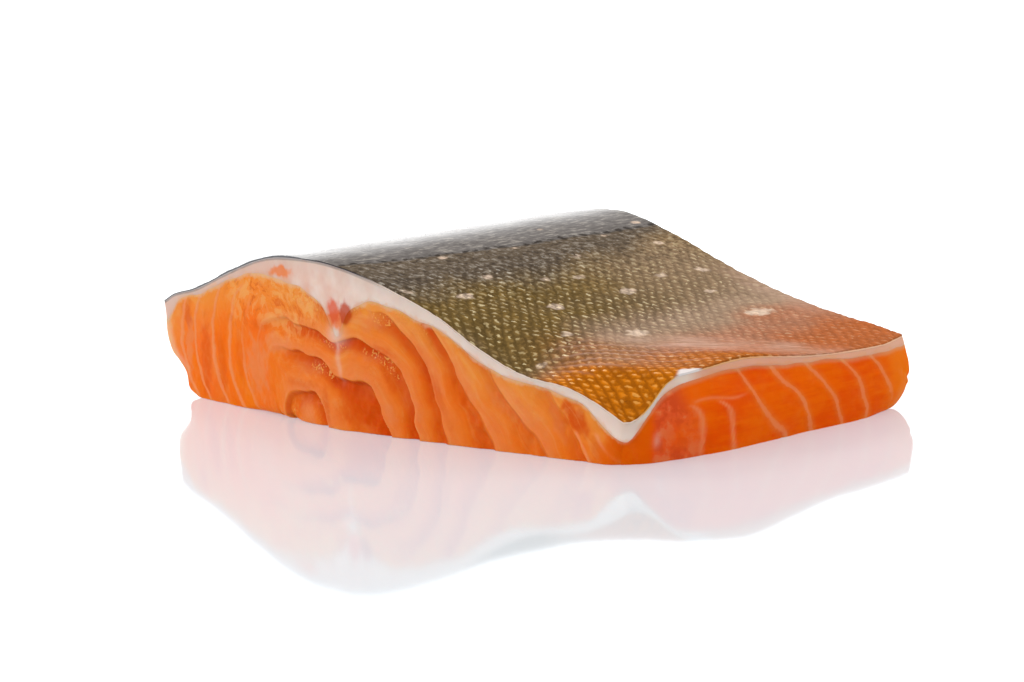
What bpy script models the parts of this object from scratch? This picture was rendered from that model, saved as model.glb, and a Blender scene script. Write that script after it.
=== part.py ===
"""A portion cut across a side of salmon, lying flesh down with its skin up.

+X runs from the trimmed back edge to the belly edge, +Y along the fish from
the near cut to the far cut, and +Z up from the flat flesh side.
Three layers lie on each other: flesh, the white fat under the skin, and skin.
"""

import math

import bmesh
import bpy

# Plan, in metres
BACK_X = -0.0883
BELLY_EDGE = [(-0.054, 0.0757), (-0.044, 0.0808), (-0.034, 0.0837), (-0.010, 0.0864),
              (0.008, 0.0883), (0.017, 0.0866)]
NEAR_Y = -0.0540
NEAR_TURN_X = -0.006
NEAR_TURN_SLOPE = 0.19
FAR_BELLY_X = 0.086
FAR_BELLY_Y = 0.0170
FAR_SLOPE = 0.235
FAR_TURN_X = -0.023
FAR_TURN_SLOPE = -0.060
TURN_LENGTH = 0.006

# Outer face of the skin at the near cut and at the far cut, as (x, z) stations
SKIN_NEAR = [(-0.088, 0.0223), (-0.082, 0.0244), (-0.070, 0.0264), (-0.052, 0.0312),
             (-0.035, 0.0350), (-0.022, 0.0359), (-0.006, 0.0353), (0.008, 0.0323),
             (0.027, 0.0260), (0.038, 0.0204), (0.050, 0.0159), (0.062, 0.0142),
             (0.070, 0.0116), (0.078, 0.0086), (0.088, 0.0060)]
SKIN_FAR = [(-0.088, 0.0225), (-0.082, 0.0245), (-0.070, 0.0266), (-0.052, 0.0311),
            (-0.035, 0.0346), (-0.022, 0.0357), (-0.008, 0.0350), (0.008, 0.0313),
            (0.027, 0.0256), (0.043, 0.0212), (0.058, 0.0180), (0.072, 0.0161),
            (0.088, 0.0138)]
CORNER_DROOP_LENGTH = 0.0115
BELLY_RIB_Y = -0.029
BELLY_RIB_LENGTH = 0.014
BELLY_RIB_WIDTH = 0.011
BELLY_RIB_HEIGHT = 0.0024

# Layers, and the places where the fat is thicker, as (x, width, extra)
SKIN_THICKNESS = 0.0006
LAYER_GAP = 0.0003
FAT_THICKNESS = 0.0010
FAT_BACK_EDGE = (-0.089, 0.007, 0.0032)
FAT_BACK = (-0.022, 0.016, 0.0034)
FAT_LATERAL = (-0.005, 0.010, 0.0068)
FAT_WEDGE = (-0.005, 0.0030, 0.0050)
FAT_FLANK = (0.018, 0.020, 0.0018)
FAT_CORNER = (NEAR_Y, 0.007, 0.0024)
FAT_CORNER_X = (0.062, 0.073)

# Rims of the flesh
BACK_FACE_INSET = [(0.0, 0.0150), (0.0015, 0.0098), (0.006, 0.0080), (0.0105, 0.0020),
                   (0.014, 0.0004), (0.022, 0.0)]
BELLY_BULGE = 0.0014
BELLY_BULGE_HEIGHT = 0.0070
NEAR_RIM = 0.0007
NEAR_RIM_LIFT = (-0.036, 0.011, 0.0020)
FAR_RIM = 0.0060

# Flakes: arches nested round the cone of the back muscle, and repeated along the fish
CONE_X = -0.0185
FLAKE_PITCH = 0.0086
ARCH_FLAKE = 0.0072

# The sheets between flakes meet the underside at (distance from the cone, number)
SHEETS_TO_BELLY = [(0.0, 0), (0.0077, 1), (0.0273, 2), (0.0369, 3), (0.046, 4), (0.059, 5),
                   (0.073, 6), (0.084, 7), (0.1005, 8), (0.117, 9)]
SHEETS_TO_BACK = [(0.0, 0), (0.014, 1), (0.019, 2), (0.023, 3), (0.0304, 4), (0.0367, 5),
                  (0.0454, 6), (0.054, 7), (0.0605, 8), (0.070, 9)]

# How the arches bend
BOW_Z = 0.0126
BOW_CURVATURE = 32.0
BOW_START = 0.026
BACK_ARCH_POWER = 5.0
FLANK_ARCH_POWER = 2.4
BELLY_ARCH_POWER = 1.4
BELLY_ARCH_REACH = (0.032, 0.064)
BELLY_LEAN = 30.0
BELLY_LEAN_REACH = (0.080, 0.104)
SEPTUM_DIP = (-0.008, 0.0045, 0.21)
SEPTUM_START = (0.006, 0.010)
SEPTUM_END = (0.022, 0.025)

# How far each flake steps back on a cut face
LEDGE_DEPTH = 0.0004
CONE_LEDGE = (CONE_X, 0.040, 0.0011)
LEDGE_POWER = 1.5
LEDGE_FADE_POWER = 6

# Mesh
ACROSS_STEPS = 64
SKIN_ACROSS_STEPS = 32
ALONG_STEPS = 14
FLESH_UP_STEPS = 12
ALONG_CROWDING = 1.35
UP_CROWDING = 1.25
WEDGE_CROWDING = (0.55, 0.10)
PLACING_ROUNDS = 5
ON_TABLE = 1e-6
FLAT_ANGLE = math.radians(0.2)
SHARP_ANGLE = math.radians(40)

# Finishes, as (colour, roughness)
FLESH_FINISH = ((0.80, 0.20, 0.035), 0.35)
FAT_FINISH = ((0.80, 0.66, 0.55), 0.40)
SKIN_FINISH = ((0.17, 0.15, 0.09), 0.30)


def clamp(value):
    return min(1.0, max(0.0, value))


def smooth(start, end, value):
    """0 before start, 1 after end, with an even change between them."""
    share = clamp((value - start) / (end - start))
    return share * share * (3.0 - 2.0 * share)


def swell(value, shape):
    """A local rise, its shape given as (middle, width, height)."""
    middle, width, height = shape
    return height * math.exp(-((value - middle) / width) ** 2)


def past_turn(distance):
    """Distance past a turn in plan: 0 before the turn, rounded at the turn."""
    return (distance + math.hypot(distance, TURN_LENGTH)) / 2


def curve_through(stations, value):
    """Height at value on the smooth curve through (value, height) stations."""
    def slope(index):
        before = stations[max(index - 1, 0)]
        after = stations[min(index + 1, len(stations) - 1)]
        return (after[1] - before[1]) / (after[0] - before[0])

    index = 0
    while index < len(stations) - 2 and value > stations[index + 1][0]:
        index += 1
    (start, low), (end, high) = stations[index:index + 2]
    share = clamp((value - start) / (end - start))
    rest = 1.0 - share
    level = low * (1 + 2 * share) * rest ** 2 + high * (1 + 2 * rest) * share ** 2
    tilt = slope(index) * share * rest ** 2 - slope(index + 1) * share ** 2 * rest
    return level + (end - start) * tilt


def near_y(x):
    return NEAR_Y + NEAR_TURN_SLOPE * past_turn(NEAR_TURN_X - x)


def far_y(x):
    straight = FAR_BELLY_Y + FAR_SLOPE * (FAR_BELLY_X - x)
    return straight + FAR_TURN_SLOPE * past_turn(FAR_TURN_X - x)


def belly_rib(x, y):
    """Share of the low rib that stands along the belly edge, 1 on its top."""
    edge = curve_through(BELLY_EDGE, y)
    return swell(y, (BELLY_RIB_Y, BELLY_RIB_LENGTH, 1.0)) * swell(x, (edge, BELLY_RIB_WIDTH, 1.0))


def skin_z(x, y):
    """Height of the skin's outer face."""
    past_cut = smooth(0.0, CORNER_DROOP_LENGTH, y - near_y(x))
    near, far = curve_through(SKIN_NEAR, x), curve_through(SKIN_FAR, x)
    return near + (far - near) * past_cut + BELLY_RIB_HEIGHT * belly_rib(x, y)


def fat_depth(x, y):
    """Thickness of the fat, with its wedge into the flesh at the lateral line."""
    shapes = (FAT_BACK_EDGE, FAT_BACK, FAT_LATERAL, FAT_WEDGE, FAT_FLANK)
    corner = smooth(*FAT_CORNER_X, x) * swell(y, FAT_CORNER)
    return FAT_THICKNESS + sum(swell(x, shape) for shape in shapes) + corner


def underside(x, y):
    return 0.0


def flesh_top(x, y):
    return fat_bottom(x, y) - LAYER_GAP


def fat_bottom(x, y):
    return fat_top(x, y) - fat_depth(x, y)


def fat_top(x, y):
    return skin_bottom(x, y) - LAYER_GAP


def skin_bottom(x, y):
    return skin_z(x, y) - SKIN_THICKNESS


def flake_number(x, y, z):
    """Counts the flakes: the sheets between them lie at the whole numbers."""
    past_cone, height = x - CONE_X, max(z, 0.0) / ARCH_FLAKE
    if past_cone < 0:
        bow = BOW_CURVATURE * (z - BOW_Z) ** 2 * smooth(0.0, BOW_START, -past_cone)
        across, power = curve_through(SHEETS_TO_BACK, bow - past_cone), BACK_ARCH_POWER
    else:
        straighter = smooth(*BELLY_ARCH_REACH, past_cone)
        power = FLANK_ARCH_POWER + (BELLY_ARCH_POWER - FLANK_ARCH_POWER) * straighter
        across = curve_through(SHEETS_TO_BELLY, past_cone)
    arch = (across ** power + height ** power) ** (1 / power)
    dip = swell(x, SEPTUM_DIP) * smooth(*SEPTUM_START, z) * (1 - smooth(*SEPTUM_END, z))
    lean = BELLY_LEAN * z * smooth(*BELLY_LEAN_REACH, past_cone)
    return arch + dip + lean + (y - near_y(x)) / FLAKE_PITCH


def ledge(x, y, z, up):
    """How far a cut face lies back: each flake steps back towards its outer sheet."""
    number = flake_number(x, y, z)
    depth = (LEDGE_DEPTH + swell(x, CONE_LEDGE)) * (1 - up ** LEDGE_FADE_POWER)
    return depth * (number - math.floor(number)) ** LEDGE_POWER


def rim_inset(z, radius):
    """Inset, at height z, of a lower edge rounded to radius."""
    below = max(radius - z, 0.0)
    return radius - math.sqrt(radius ** 2 - below ** 2)


def between_sides(share, belly_y, z):
    """X at a share of the way from the back edge to the belly edge."""
    low = BACK_X + curve_through(BACK_FACE_INSET, z)
    bulge = BELLY_BULGE * clamp(abs(z / BELLY_BULGE_HEIGHT - 1)) ** 2
    high = curve_through(BELLY_EDGE, belly_y) - bulge
    return low + (high - low) * share


def between_cuts(share, x, z):
    """Y at a share of the way from the near cut to the far cut."""
    low = near_y(x) + rim_inset(z, NEAR_RIM + swell(x, NEAR_RIM_LIFT))
    high = far_y(x) - rim_inset(z, FAR_RIM)
    return low + (high - low) * share


def place_in_layer(shares, bottom, top):
    """Point at shares of the way across, along and up a layer."""
    across, along, up = shares
    belly_y = NEAR_Y + (FAR_BELLY_Y - NEAR_Y) * along
    z = BELLY_BULGE_HEIGHT
    for _ in range(PLACING_ROUNDS):
        x = between_sides(across, belly_y, z)
        y = between_cuts(along, x, z)
        z = bottom(x, y) + (top(x, y) - bottom(x, y)) * up
    return x, y, z


def step_cut_faces(point, shares):
    """The point moved in where its flake steps back from a cut face."""
    (x, y, z), (across, along, up) = point, shares
    inset = ledge(x, y, z, up)
    x += inset * ((across == 0) - (across == 1))
    y += inset * ((along == 0) - (along == 1))
    return x, y, z


def crowd(corner):
    """Shares for a grid corner, with more rows where the form changes fast."""
    across, along, up = (clamp(value) for value in corner)
    wedge = (FAT_WEDGE[0] - BACK_X) / (FAR_BELLY_X - BACK_X)
    pull, reach = WEDGE_CROWDING
    across -= (across - wedge) * swell(across, (wedge, reach, pull))
    return clamp(across), along ** ALONG_CROWDING, up ** UP_CROWDING


def gridded_box(across_steps, along_steps, up_steps):
    """A box one unit each way, its lowest corner at the origin, with gridded sides."""
    mesh = bmesh.new()
    bmesh.ops.create_grid(mesh, x_segments=across_steps, y_segments=along_steps, size=0.5)
    bmesh.ops.translate(mesh, vec=(0.5, 0.5, 0.0), verts=mesh.verts)
    raised = bmesh.ops.extrude_face_region(mesh, geom=mesh.faces[:], use_keep_orig=True)["geom"]
    raised = [item for item in raised if isinstance(item, bmesh.types.BMVert)]
    bmesh.ops.translate(mesh, vec=(0.0, 0.0, 1.0), verts=raised)
    upright = [edge for edge in mesh.edges if edge.verts[0].co.z != edge.verts[1].co.z]
    if up_steps > 1:
        bmesh.ops.subdivide_edges(mesh, edges=upright, cuts=up_steps - 1)
    bmesh.ops.recalc_face_normals(mesh, faces=mesh.faces)
    return mesh


def merge_flat_underside(mesh):
    """The faces that lie flat on the table become one."""
    low = [vert for vert in mesh.verts if abs(vert.co.z) < ON_TABLE]
    edges = [edge for edge in mesh.edges if all(abs(vert.co.z) < ON_TABLE for vert in edge.verts)]
    bmesh.ops.dissolve_limit(mesh, angle_limit=FLAT_ANGLE, verts=low, edges=edges)


def finish(name, look):
    colour, roughness = look
    material = bpy.data.materials.new(name)
    material.use_nodes = True
    shader = material.node_tree.nodes["Principled BSDF"]
    shader.inputs["Base Color"].default_value = (*colour, 1.0)
    shader.inputs["Roughness"].default_value = roughness
    shader.inputs["Metallic"].default_value = 0.0
    return material


def add_layer(name, mesh, look):
    data = bpy.data.meshes.new(name)
    mesh.to_mesh(data)
    mesh.free()
    data.materials.append(finish(name, look))
    data.shade_smooth()
    data.set_sharp_from_angle(angle=SHARP_ANGLE)
    bpy.context.scene.collection.objects.link(bpy.data.objects.new(name, data))


def add_flesh():
    mesh = gridded_box(ACROSS_STEPS, ALONG_STEPS, FLESH_UP_STEPS)
    for vert in mesh.verts:
        shares = crowd(vert.co)
        vert.co = step_cut_faces(place_in_layer(shares, underside, flesh_top), shares)
    merge_flat_underside(mesh)
    add_layer("flesh", mesh, FLESH_FINISH)


def add_fat():
    mesh = gridded_box(ACROSS_STEPS, ALONG_STEPS, 1)
    for vert in mesh.verts:
        vert.co = place_in_layer(crowd(vert.co), fat_bottom, fat_top)
    add_layer("fat_layer", mesh, FAT_FINISH)


def add_skin():
    mesh = gridded_box(SKIN_ACROSS_STEPS, ALONG_STEPS, 1)
    for vert in mesh.verts:
        vert.co = place_in_layer(crowd(vert.co), skin_bottom, skin_z)
    add_layer("skin", mesh, SKIN_FINISH)


def clear_scene():
    for item in list(bpy.data.objects):
        bpy.data.objects.remove(item, do_unlink=True)


clear_scene()
add_flesh()
add_fat()
add_skin()
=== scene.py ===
# %% [markdown]
# # A portion of salmon, skin up
# The piece is cut across the side of a fish. Three layers show at its cuts: orange muscle,
# a band of white fat, and a thin skin set with small scales. The packed solids give their
# true form, and this lesson dresses them: it makes finer meshes of the same form, with the
# stepped flakes and the scales as real relief, and wet materials to go on them.

# %% The frame
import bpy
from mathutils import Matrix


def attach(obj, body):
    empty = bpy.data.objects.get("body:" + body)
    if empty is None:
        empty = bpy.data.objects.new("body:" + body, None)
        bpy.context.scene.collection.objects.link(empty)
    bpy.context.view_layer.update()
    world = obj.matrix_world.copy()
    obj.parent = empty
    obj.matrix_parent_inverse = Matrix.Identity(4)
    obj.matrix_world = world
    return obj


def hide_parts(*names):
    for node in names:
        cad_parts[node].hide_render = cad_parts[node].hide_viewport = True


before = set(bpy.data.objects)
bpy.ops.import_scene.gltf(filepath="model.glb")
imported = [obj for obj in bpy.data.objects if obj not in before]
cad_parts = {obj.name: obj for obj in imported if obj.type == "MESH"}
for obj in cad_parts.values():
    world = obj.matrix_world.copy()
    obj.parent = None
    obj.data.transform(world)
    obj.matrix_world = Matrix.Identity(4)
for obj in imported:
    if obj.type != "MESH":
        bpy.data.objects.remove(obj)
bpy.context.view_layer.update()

import math

import bmesh
import bpy
import numpy as np
from mathutils import Matrix, Vector

print("solids:", sorted(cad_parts))

# %% [markdown]
# ## The camera
# A long lens stands a little above the table and looks at the corner between the near cut
# and the belly side. It is rolled slightly, as in the photograph. A camera's matrix holds
# its right, up and backward directions as columns, so the roll is one turn of two of them.

# %% The camera
CAMERA_PLACE = Vector((0.3475, -0.3349, 0.0810))
CAMERA_HEADING = Vector((-0.7294, 0.6841, 0.0))
CAMERA_DIP = math.radians(8.2)
CAMERA_ROLL = math.radians(4.37)
CAMERA_LENS = 77.34
SENSOR_WIDTH = 36.0


def place_camera():
    forward = CAMERA_HEADING * math.cos(CAMERA_DIP) - Vector((0, 0, math.sin(CAMERA_DIP)))
    level_right = forward.cross(Vector((0, 0, 1))).normalized()
    level_up = level_right.cross(forward)
    right = level_right * math.cos(CAMERA_ROLL) - level_up * math.sin(CAMERA_ROLL)
    up = level_up * math.cos(CAMERA_ROLL) + level_right * math.sin(CAMERA_ROLL)
    data = bpy.data.cameras.new("camera")
    data.sensor_fit, data.sensor_width, data.lens = "HORIZONTAL", SENSOR_WIDTH, CAMERA_LENS
    camera = bpy.data.objects.new("camera", data)
    turned = Matrix((right, up, -forward)).transposed().to_4x4()
    camera.matrix_world = Matrix.Translation(CAMERA_PLACE) @ turned
    bpy.context.scene.collection.objects.link(camera)
    bpy.context.scene.camera = camera


place_camera()
print("camera looks down", round(math.degrees(CAMERA_DIP), 1), "degrees")

# %% [markdown]
# ## Writing materials as sums
# Shader nodes are easier to read as arithmetic. `Wire` wraps one output of a node, and its
# operators add Math nodes. Every other kind of node comes from one method of `Nodes`, which
# sets a node's settings before its sockets.

# %% Wires
class Wire:
    """One output of a shader node, used in sums like a number."""

    def __init__(self, nodes, socket):
        self.nodes, self.socket = nodes, socket

    def __add__(self, other):
        return maths("ADD", self, other)

    def __radd__(self, other):
        return maths("ADD", other, self)

    def __sub__(self, other):
        return maths("SUBTRACT", self, other)

    def __rsub__(self, other):
        return maths("SUBTRACT", other, self)

    def __mul__(self, other):
        return maths("MULTIPLY", self, other)

    def __rmul__(self, other):
        return maths("MULTIPLY", other, self)

    def __truediv__(self, other):
        return maths("DIVIDE", self, other)

    def __rtruediv__(self, other):
        return maths("DIVIDE", other, self)


def maths(operation, *values):
    """Adds a Math node, to the tree of the first value that is a wire."""
    nodes = next(value.nodes for value in values if isinstance(value, Wire))
    return nodes.node("ShaderNodeMath", {"operation": operation}, dict(enumerate(values)))


class Nodes:
    """A tree of shader nodes, and the ways to add to it."""

    def __init__(self, tree):
        self.tree = tree

    def node(self, kind, settings=None, sockets=None, output=0):
        made = self.tree.nodes.new(kind)
        for name, value in (settings or {}).items():
            setattr(made, name, value)
        for key, value in (sockets or {}).items():
            self.fill(made.inputs[key], value)
        return Wire(self, made.outputs[output])

    def fill(self, socket, value):
        if isinstance(value, Wire):
            self.tree.links.new(value.socket, socket)
        elif socket.type == "RGBA":
            socket.default_value = (*value, 1.0)
        else:
            socket.default_value = value

    def ramp(self, value, start, end):
        """Eases from 0 where value is start to 1 where it is end, whichever is higher."""
        sockets = {"Value": value, "From Min": start, "From Max": end}
        return self.node("ShaderNodeMapRange", {"interpolation_type": "SMOOTHSTEP"}, sockets)

    def band(self, value, start, full, fading, end):
        """1 from full to fading, eased to 0 at start and at end."""
        return self.ramp(value, start, full) * self.ramp(value, end, fading)


print("Wire has", sum(callable(part) for part in vars(Wire).values()), "methods")

# %% [markdown]
# ## Finishes
# A material is built up as paint is: a ground tone, and coats laid over it, each with a
# share from 0 to 1 that says where it shows. The shares come from noise, from an object's
# coordinates, and from numbers stored for each vertex of a mesh.

# %% Finishes
class Finish(Nodes):
    """A material, its shader, and what feeds it."""

    def __init__(self, name):
        self.material = bpy.data.materials.new(name)
        self.material.use_nodes = True
        super().__init__(self.material.node_tree)
        self.shader = self.tree.nodes["Principled BSDF"]

    def set(self, **values):
        """Sets the shader's sockets, with an underscore for each space in a name."""
        for name, value in values.items():
            words = [word if word.isupper() else word.capitalize() for word in name.split("_")]
            self.fill(self.shader.inputs[" ".join(words)], value)

    def place(self):
        """Object coordinates, whole and as X, Y and Z wires."""
        spot = self.node("ShaderNodeTexCoord", output="Object")
        return spot, [self.node("ShaderNodeSeparateXYZ", None, {0: spot}, axis) for axis in "XYZ"]

    def marks(self, *names):
        """The numbers stored for each vertex, by name."""
        kind = "ShaderNodeAttribute"
        return {name: self.node(kind, {"attribute_name": name}, output="Fac") for name in names}

    def noise(self, spot, scale, detail=3.0, roughness=0.5):
        sockets = {"Vector": spot, "Scale": scale, "Detail": detail, "Roughness": roughness}
        return self.node("ShaderNodeTexNoise", None, sockets, "Fac")

    def strokes(self, across, along, depth, detail=3.0):
        """Noise drawn out along one direction, from three stretched distances."""
        stretched = self.node("ShaderNodeCombineXYZ", None, {0: across, 1: along, 2: depth})
        return self.noise(stretched, 1.0, detail, 0.6)

    def lot(self, row, column, draw):
        """One number from 0 to 1 for each cell of a lattice."""
        cell = self.node("ShaderNodeCombineXYZ", None, {0: row, 1: column, 2: draw})
        return self.node("ShaderNodeTexWhiteNoise", None, {"Vector": cell}, "Value")

    def mix(self, share, first, second):
        sockets = {0: share, 6: first, 7: second}
        return self.node("ShaderNodeMix", {"data_type": "RGBA"}, sockets, 2)

    def lay(self, tone, *coats):
        """Lays coats, each a share and a colour, over a tone one after another."""
        for share, colour_over in coats:
            tone = self.mix(share, tone, colour_over)
        return tone

    def bump(self, height, strength, distance):
        sockets = {"Height": height, "Strength": strength, "Distance": distance}
        self.fill(self.shader.inputs["Normal"], self.node("ShaderNodeBump", None, sockets))


def colour(red, green, blue):
    """A linear colour from its values on screen, each 0 to 255."""
    def linear(value):
        share = value / 255
        return share / 12.92 if share <= 0.04045 else ((share + 0.055) / 1.055) ** 2.4
    return linear(red), linear(green), linear(blue)


print("olive on screen is", [round(part, 3) for part in colour(125, 105, 62)], "as light")

# %% [markdown]
# ## A white table in soft white light
# The fillet lies on a white, glossy table in a light tent. The tent is a white world, a
# little dimmer in front than behind, with a glaring backdrop low behind the fillet: it
# whitens the table and the crest of the back, where they mirror it at a flat angle. Part of
# the table's brightness is its own, as on a light box, so the mirror image stays pale.

# %% Table and light
FLOOR_SIDE = 12.0
TABLE_TONE, TABLE_ROUGHNESS, TABLE_SHINE = (0.47, 0.465, 0.475), 0.065, 0.45
TABLE_GLOW, TABLE_GLOW_STRENGTH = (0.73, 0.87, 0.96), 0.355
TENT_BEHIND, TENT_FRONT, TENT_TURN = 1.05, 0.72, (-0.6, 0.7)
TENT_SLOPE = Vector((-0.55, 0.52, 0.65))
GLARE, GLARE_REACH, GLARE_PLACE = 0.90, (0.78, 0.96), Vector((-0.73, 0.68, 0.22))
LAMP_DISTANCE, LAMP_POWER = 1.1, 1.6
LAMPS = [("front_left", (-0.62, -0.70, 0.42), 0.20), ("back_left", (-0.75, 0.45, 0.75), 0.25)]


def add_floor():
    data = bpy.data.meshes.new("floor")
    mesh = bmesh.new()
    bmesh.ops.create_grid(mesh, x_segments=1, y_segments=1, size=FLOOR_SIDE / 2)
    mesh.to_mesh(data)
    mesh.free()
    floor = bpy.data.objects.new("floor", data)
    bpy.context.scene.collection.objects.link(floor)
    table = Finish("white_table")
    table.set(base_color=TABLE_TONE, roughness=TABLE_ROUGHNESS, specular_IOR_level=TABLE_SHINE)
    table.set(emission_color=TABLE_GLOW, emission_strength=TABLE_GLOW_STRENGTH)
    data.materials.append(table.material)


def add_lamp(name, direction, side):
    data = bpy.data.lights.new(name, "AREA")
    data.shape, data.size, data.energy = "DISK", side, LAMP_POWER
    lamp = bpy.data.objects.new(name, data)
    heading = Vector(direction).normalized()
    lamp.location = heading * LAMP_DISTANCE
    lamp.rotation_euler = heading.to_track_quat("Z", "Y").to_euler()
    bpy.context.scene.collection.objects.link(lamp)


def light_tent():
    """White to the camera, and to the fillet brighter behind than in front."""
    world = bpy.data.worlds.new("white_tent")
    world.use_nodes = True
    tent = Nodes(world.node_tree)
    heading = tent.node("ShaderNodeTexCoord", output="Generated")

    def towards(place, reach):
        settings, sockets = {"operation": "DOT_PRODUCT"}, {0: heading, 1: place.normalized()}
        return tent.ramp(tent.node("ShaderNodeVectorMath", settings, sockets, "Value"), *reach)

    light = towards(TENT_SLOPE, TENT_TURN) * (TENT_BEHIND - TENT_FRONT) + TENT_FRONT
    light = light + towards(GLARE_PLACE, GLARE_REACH) * GLARE
    to_camera = tent.node("ShaderNodeLightPath", output="Is Camera Ray")
    background = world.node_tree.nodes["Background"]
    tent.fill(background.inputs["Color"], (1.0, 1.0, 1.0))
    tent.fill(background.inputs["Strength"], maths("MAXIMUM", light, to_camera))
    bpy.context.scene.world = world
    bpy.context.scene.view_settings.view_transform = "Standard"


add_floor()
light_tent()
for lamp in LAMPS:
    add_lamp(*lamp)

# %% [markdown]
# ## Curves, swells and spots
# Every form and mark below is a function of a place, and takes whole arrays of points at
# once. A few shapes make up all of them: an eased step, a band between two steps, a swell
# along a line, a spot in a plane, and a smooth curve through a few stations.

# %% Curves, swells and spots
def smooth(start, end, value):
    """Eases from 0 where value is start to 1 where it is end, whichever is higher."""
    share = np.clip((value - start) / (end - start), 0.0, 1.0)
    return share * share * (3.0 - 2.0 * share)


def band(start, full, fading, end, value):
    """1 from full to fading, eased to 0 at start and at end."""
    return smooth(start, full, value) * smooth(end, fading, value)


def swell(value, middle, width, height=1.0):
    return height * np.exp(-((value - middle) / width) ** 2)


def blot(x, z, spot):
    """1 at the middle of a spot, falling off over its size each way."""
    middle_x, middle_z, wide, high = spot
    return np.exp(-((x - middle_x) / wide) ** 2 - ((z - middle_z) / high) ** 2)


def curve_through(stations, value):
    """Heights at the values on the smooth curve through (value, height) stations."""
    across, height = np.array(stations, dtype=float).T
    slope = np.empty_like(height)
    slope[1:-1] = (height[2:] - height[:-2]) / (across[2:] - across[:-2])
    slope[0] = (height[1] - height[0]) / (across[1] - across[0])
    slope[-1] = (height[-1] - height[-2]) / (across[-1] - across[-2])
    index = np.clip(np.searchsorted(across, value) - 1, 0, len(across) - 2)
    span = across[index + 1] - across[index]
    share = np.clip((value - across[index]) / span, 0.0, 1.0)
    rest = 1.0 - share
    level = height[index] * (1 + 2 * share) * rest ** 2 + height[index + 1] * (1 + 2 * rest) * share ** 2
    return level + span * (slope[index] * share * rest ** 2 - slope[index + 1] * share ** 2 * rest)


print("halfway up an eased step is", float(smooth(0.0, 1.0, 0.5)))

# %% [markdown]
# ## The fillet's form
# The packed solids were made from a few outlines: the skin line at the near and far cuts,
# the belly edge in plan, and the thickness of the fat. The finer meshes need the same form,
# so the outlines are repeated here.

# %% Outlines
BACK_X = -0.0883
BELLY_EDGE = [(-0.054, 0.0757), (-0.044, 0.0808), (-0.034, 0.0837), (-0.010, 0.0864),
              (0.008, 0.0883), (0.017, 0.0866)]
NEAR_Y, NEAR_TURN_X, NEAR_TURN_SLOPE = -0.0540, -0.006, 0.19
FAR_BELLY_X, FAR_BELLY_Y, FAR_SLOPE = 0.086, 0.0170, 0.235
FAR_TURN_X, FAR_TURN_SLOPE = -0.023, -0.060
TURN_LENGTH = 0.006
SKIN_NEAR = [(-0.088, 0.0223), (-0.082, 0.0244), (-0.070, 0.0264), (-0.052, 0.0312),
             (-0.035, 0.0350), (-0.022, 0.0359), (-0.006, 0.0353), (0.008, 0.0323),
             (0.027, 0.0260), (0.038, 0.0204), (0.050, 0.0159), (0.062, 0.0142),
             (0.070, 0.0116), (0.078, 0.0086), (0.088, 0.0060)]
SKIN_FAR = [(-0.088, 0.0225), (-0.082, 0.0245), (-0.070, 0.0266), (-0.052, 0.0311),
            (-0.035, 0.0346), (-0.022, 0.0357), (-0.008, 0.0350), (0.008, 0.0313),
            (0.027, 0.0256), (0.043, 0.0212), (0.058, 0.0180), (0.072, 0.0161),
            (0.088, 0.0138)]
CORNER_DROOP_LENGTH = 0.0115
CORNER_SAG, CORNER_SAG_SPOT = 0.0009, (0.0765, -0.0530, 0.0060, 0.0040)
BELLY_RIB, BELLY_RIB_WIDTH = (-0.029, 0.014, 0.0024), 0.011
SKIN_THICKNESS = 0.0006
CREST_PLACE = (-0.022, 0.0)


def past_turn(distance):
    """Rises with the distance past a turn, and stays near 0 before it."""
    return (distance + np.hypot(distance, TURN_LENGTH)) / 2


def near_y(x):
    return NEAR_Y + NEAR_TURN_SLOPE * past_turn(NEAR_TURN_X - x)


def far_y(x):
    return FAR_BELLY_Y + FAR_SLOPE * (FAR_BELLY_X - x) + FAR_TURN_SLOPE * past_turn(FAR_TURN_X - x)


def skin_top(x, y):
    past_cut = smooth(0.0, CORNER_DROOP_LENGTH, y - near_y(x))
    near, far = curve_through(SKIN_NEAR, x), curve_through(SKIN_FAR, x)
    rib = swell(y, *BELLY_RIB) * swell(x, curve_through(BELLY_EDGE, y), BELLY_RIB_WIDTH)
    return near + (far - near) * past_cut + rib - CORNER_SAG * blot(x, y, CORNER_SAG_SPOT)


def skin_bottom(x, y):
    return skin_top(x, y) - SKIN_THICKNESS


print("the crest stands", round(float(skin_top(*CREST_PLACE)), 4), "m above the table")

# %% [markdown]
# ## The layers under the skin
# The border between fat and flesh is never a clean line, so a small unevenness is added to
# it. It comes from a sum of sine waves in random directions, drawn from a fixed seed, which
# works on whole arrays and gives the same lumps each time. The fat swells at the lateral
# line, and thins out along the belly edge by the near corner.

# %% Layers
WAVE_COUNT = 14
VISIBLE_GAP, LAYER_GAP, LAYER_OVERLAP = 0.00003, 0.0003, 0.00006
FAT_THICKNESS, FAT_WEDGE = 0.0010, (-0.005, 0.0030, 0.0050)
FAT_SWELLS = [(-0.089, 0.007, 0.0032), (-0.022, 0.016, 0.0034), (-0.005, 0.010, 0.0068),
              FAT_WEDGE, (0.018, 0.020, 0.0018)]
FAT_CORNER, FAT_CORNER_X = (NEAR_Y, 0.0024, 0.0026), (0.064, 0.074)
THIN_FAT, THIN_FAT_SPOT = 0.92, (0.0850, -0.0478, 0.0110, 0.0060)
RAGGED = [(0.0060, 5, 0.00030), (0.0024, 5, 0.00013)]


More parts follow.
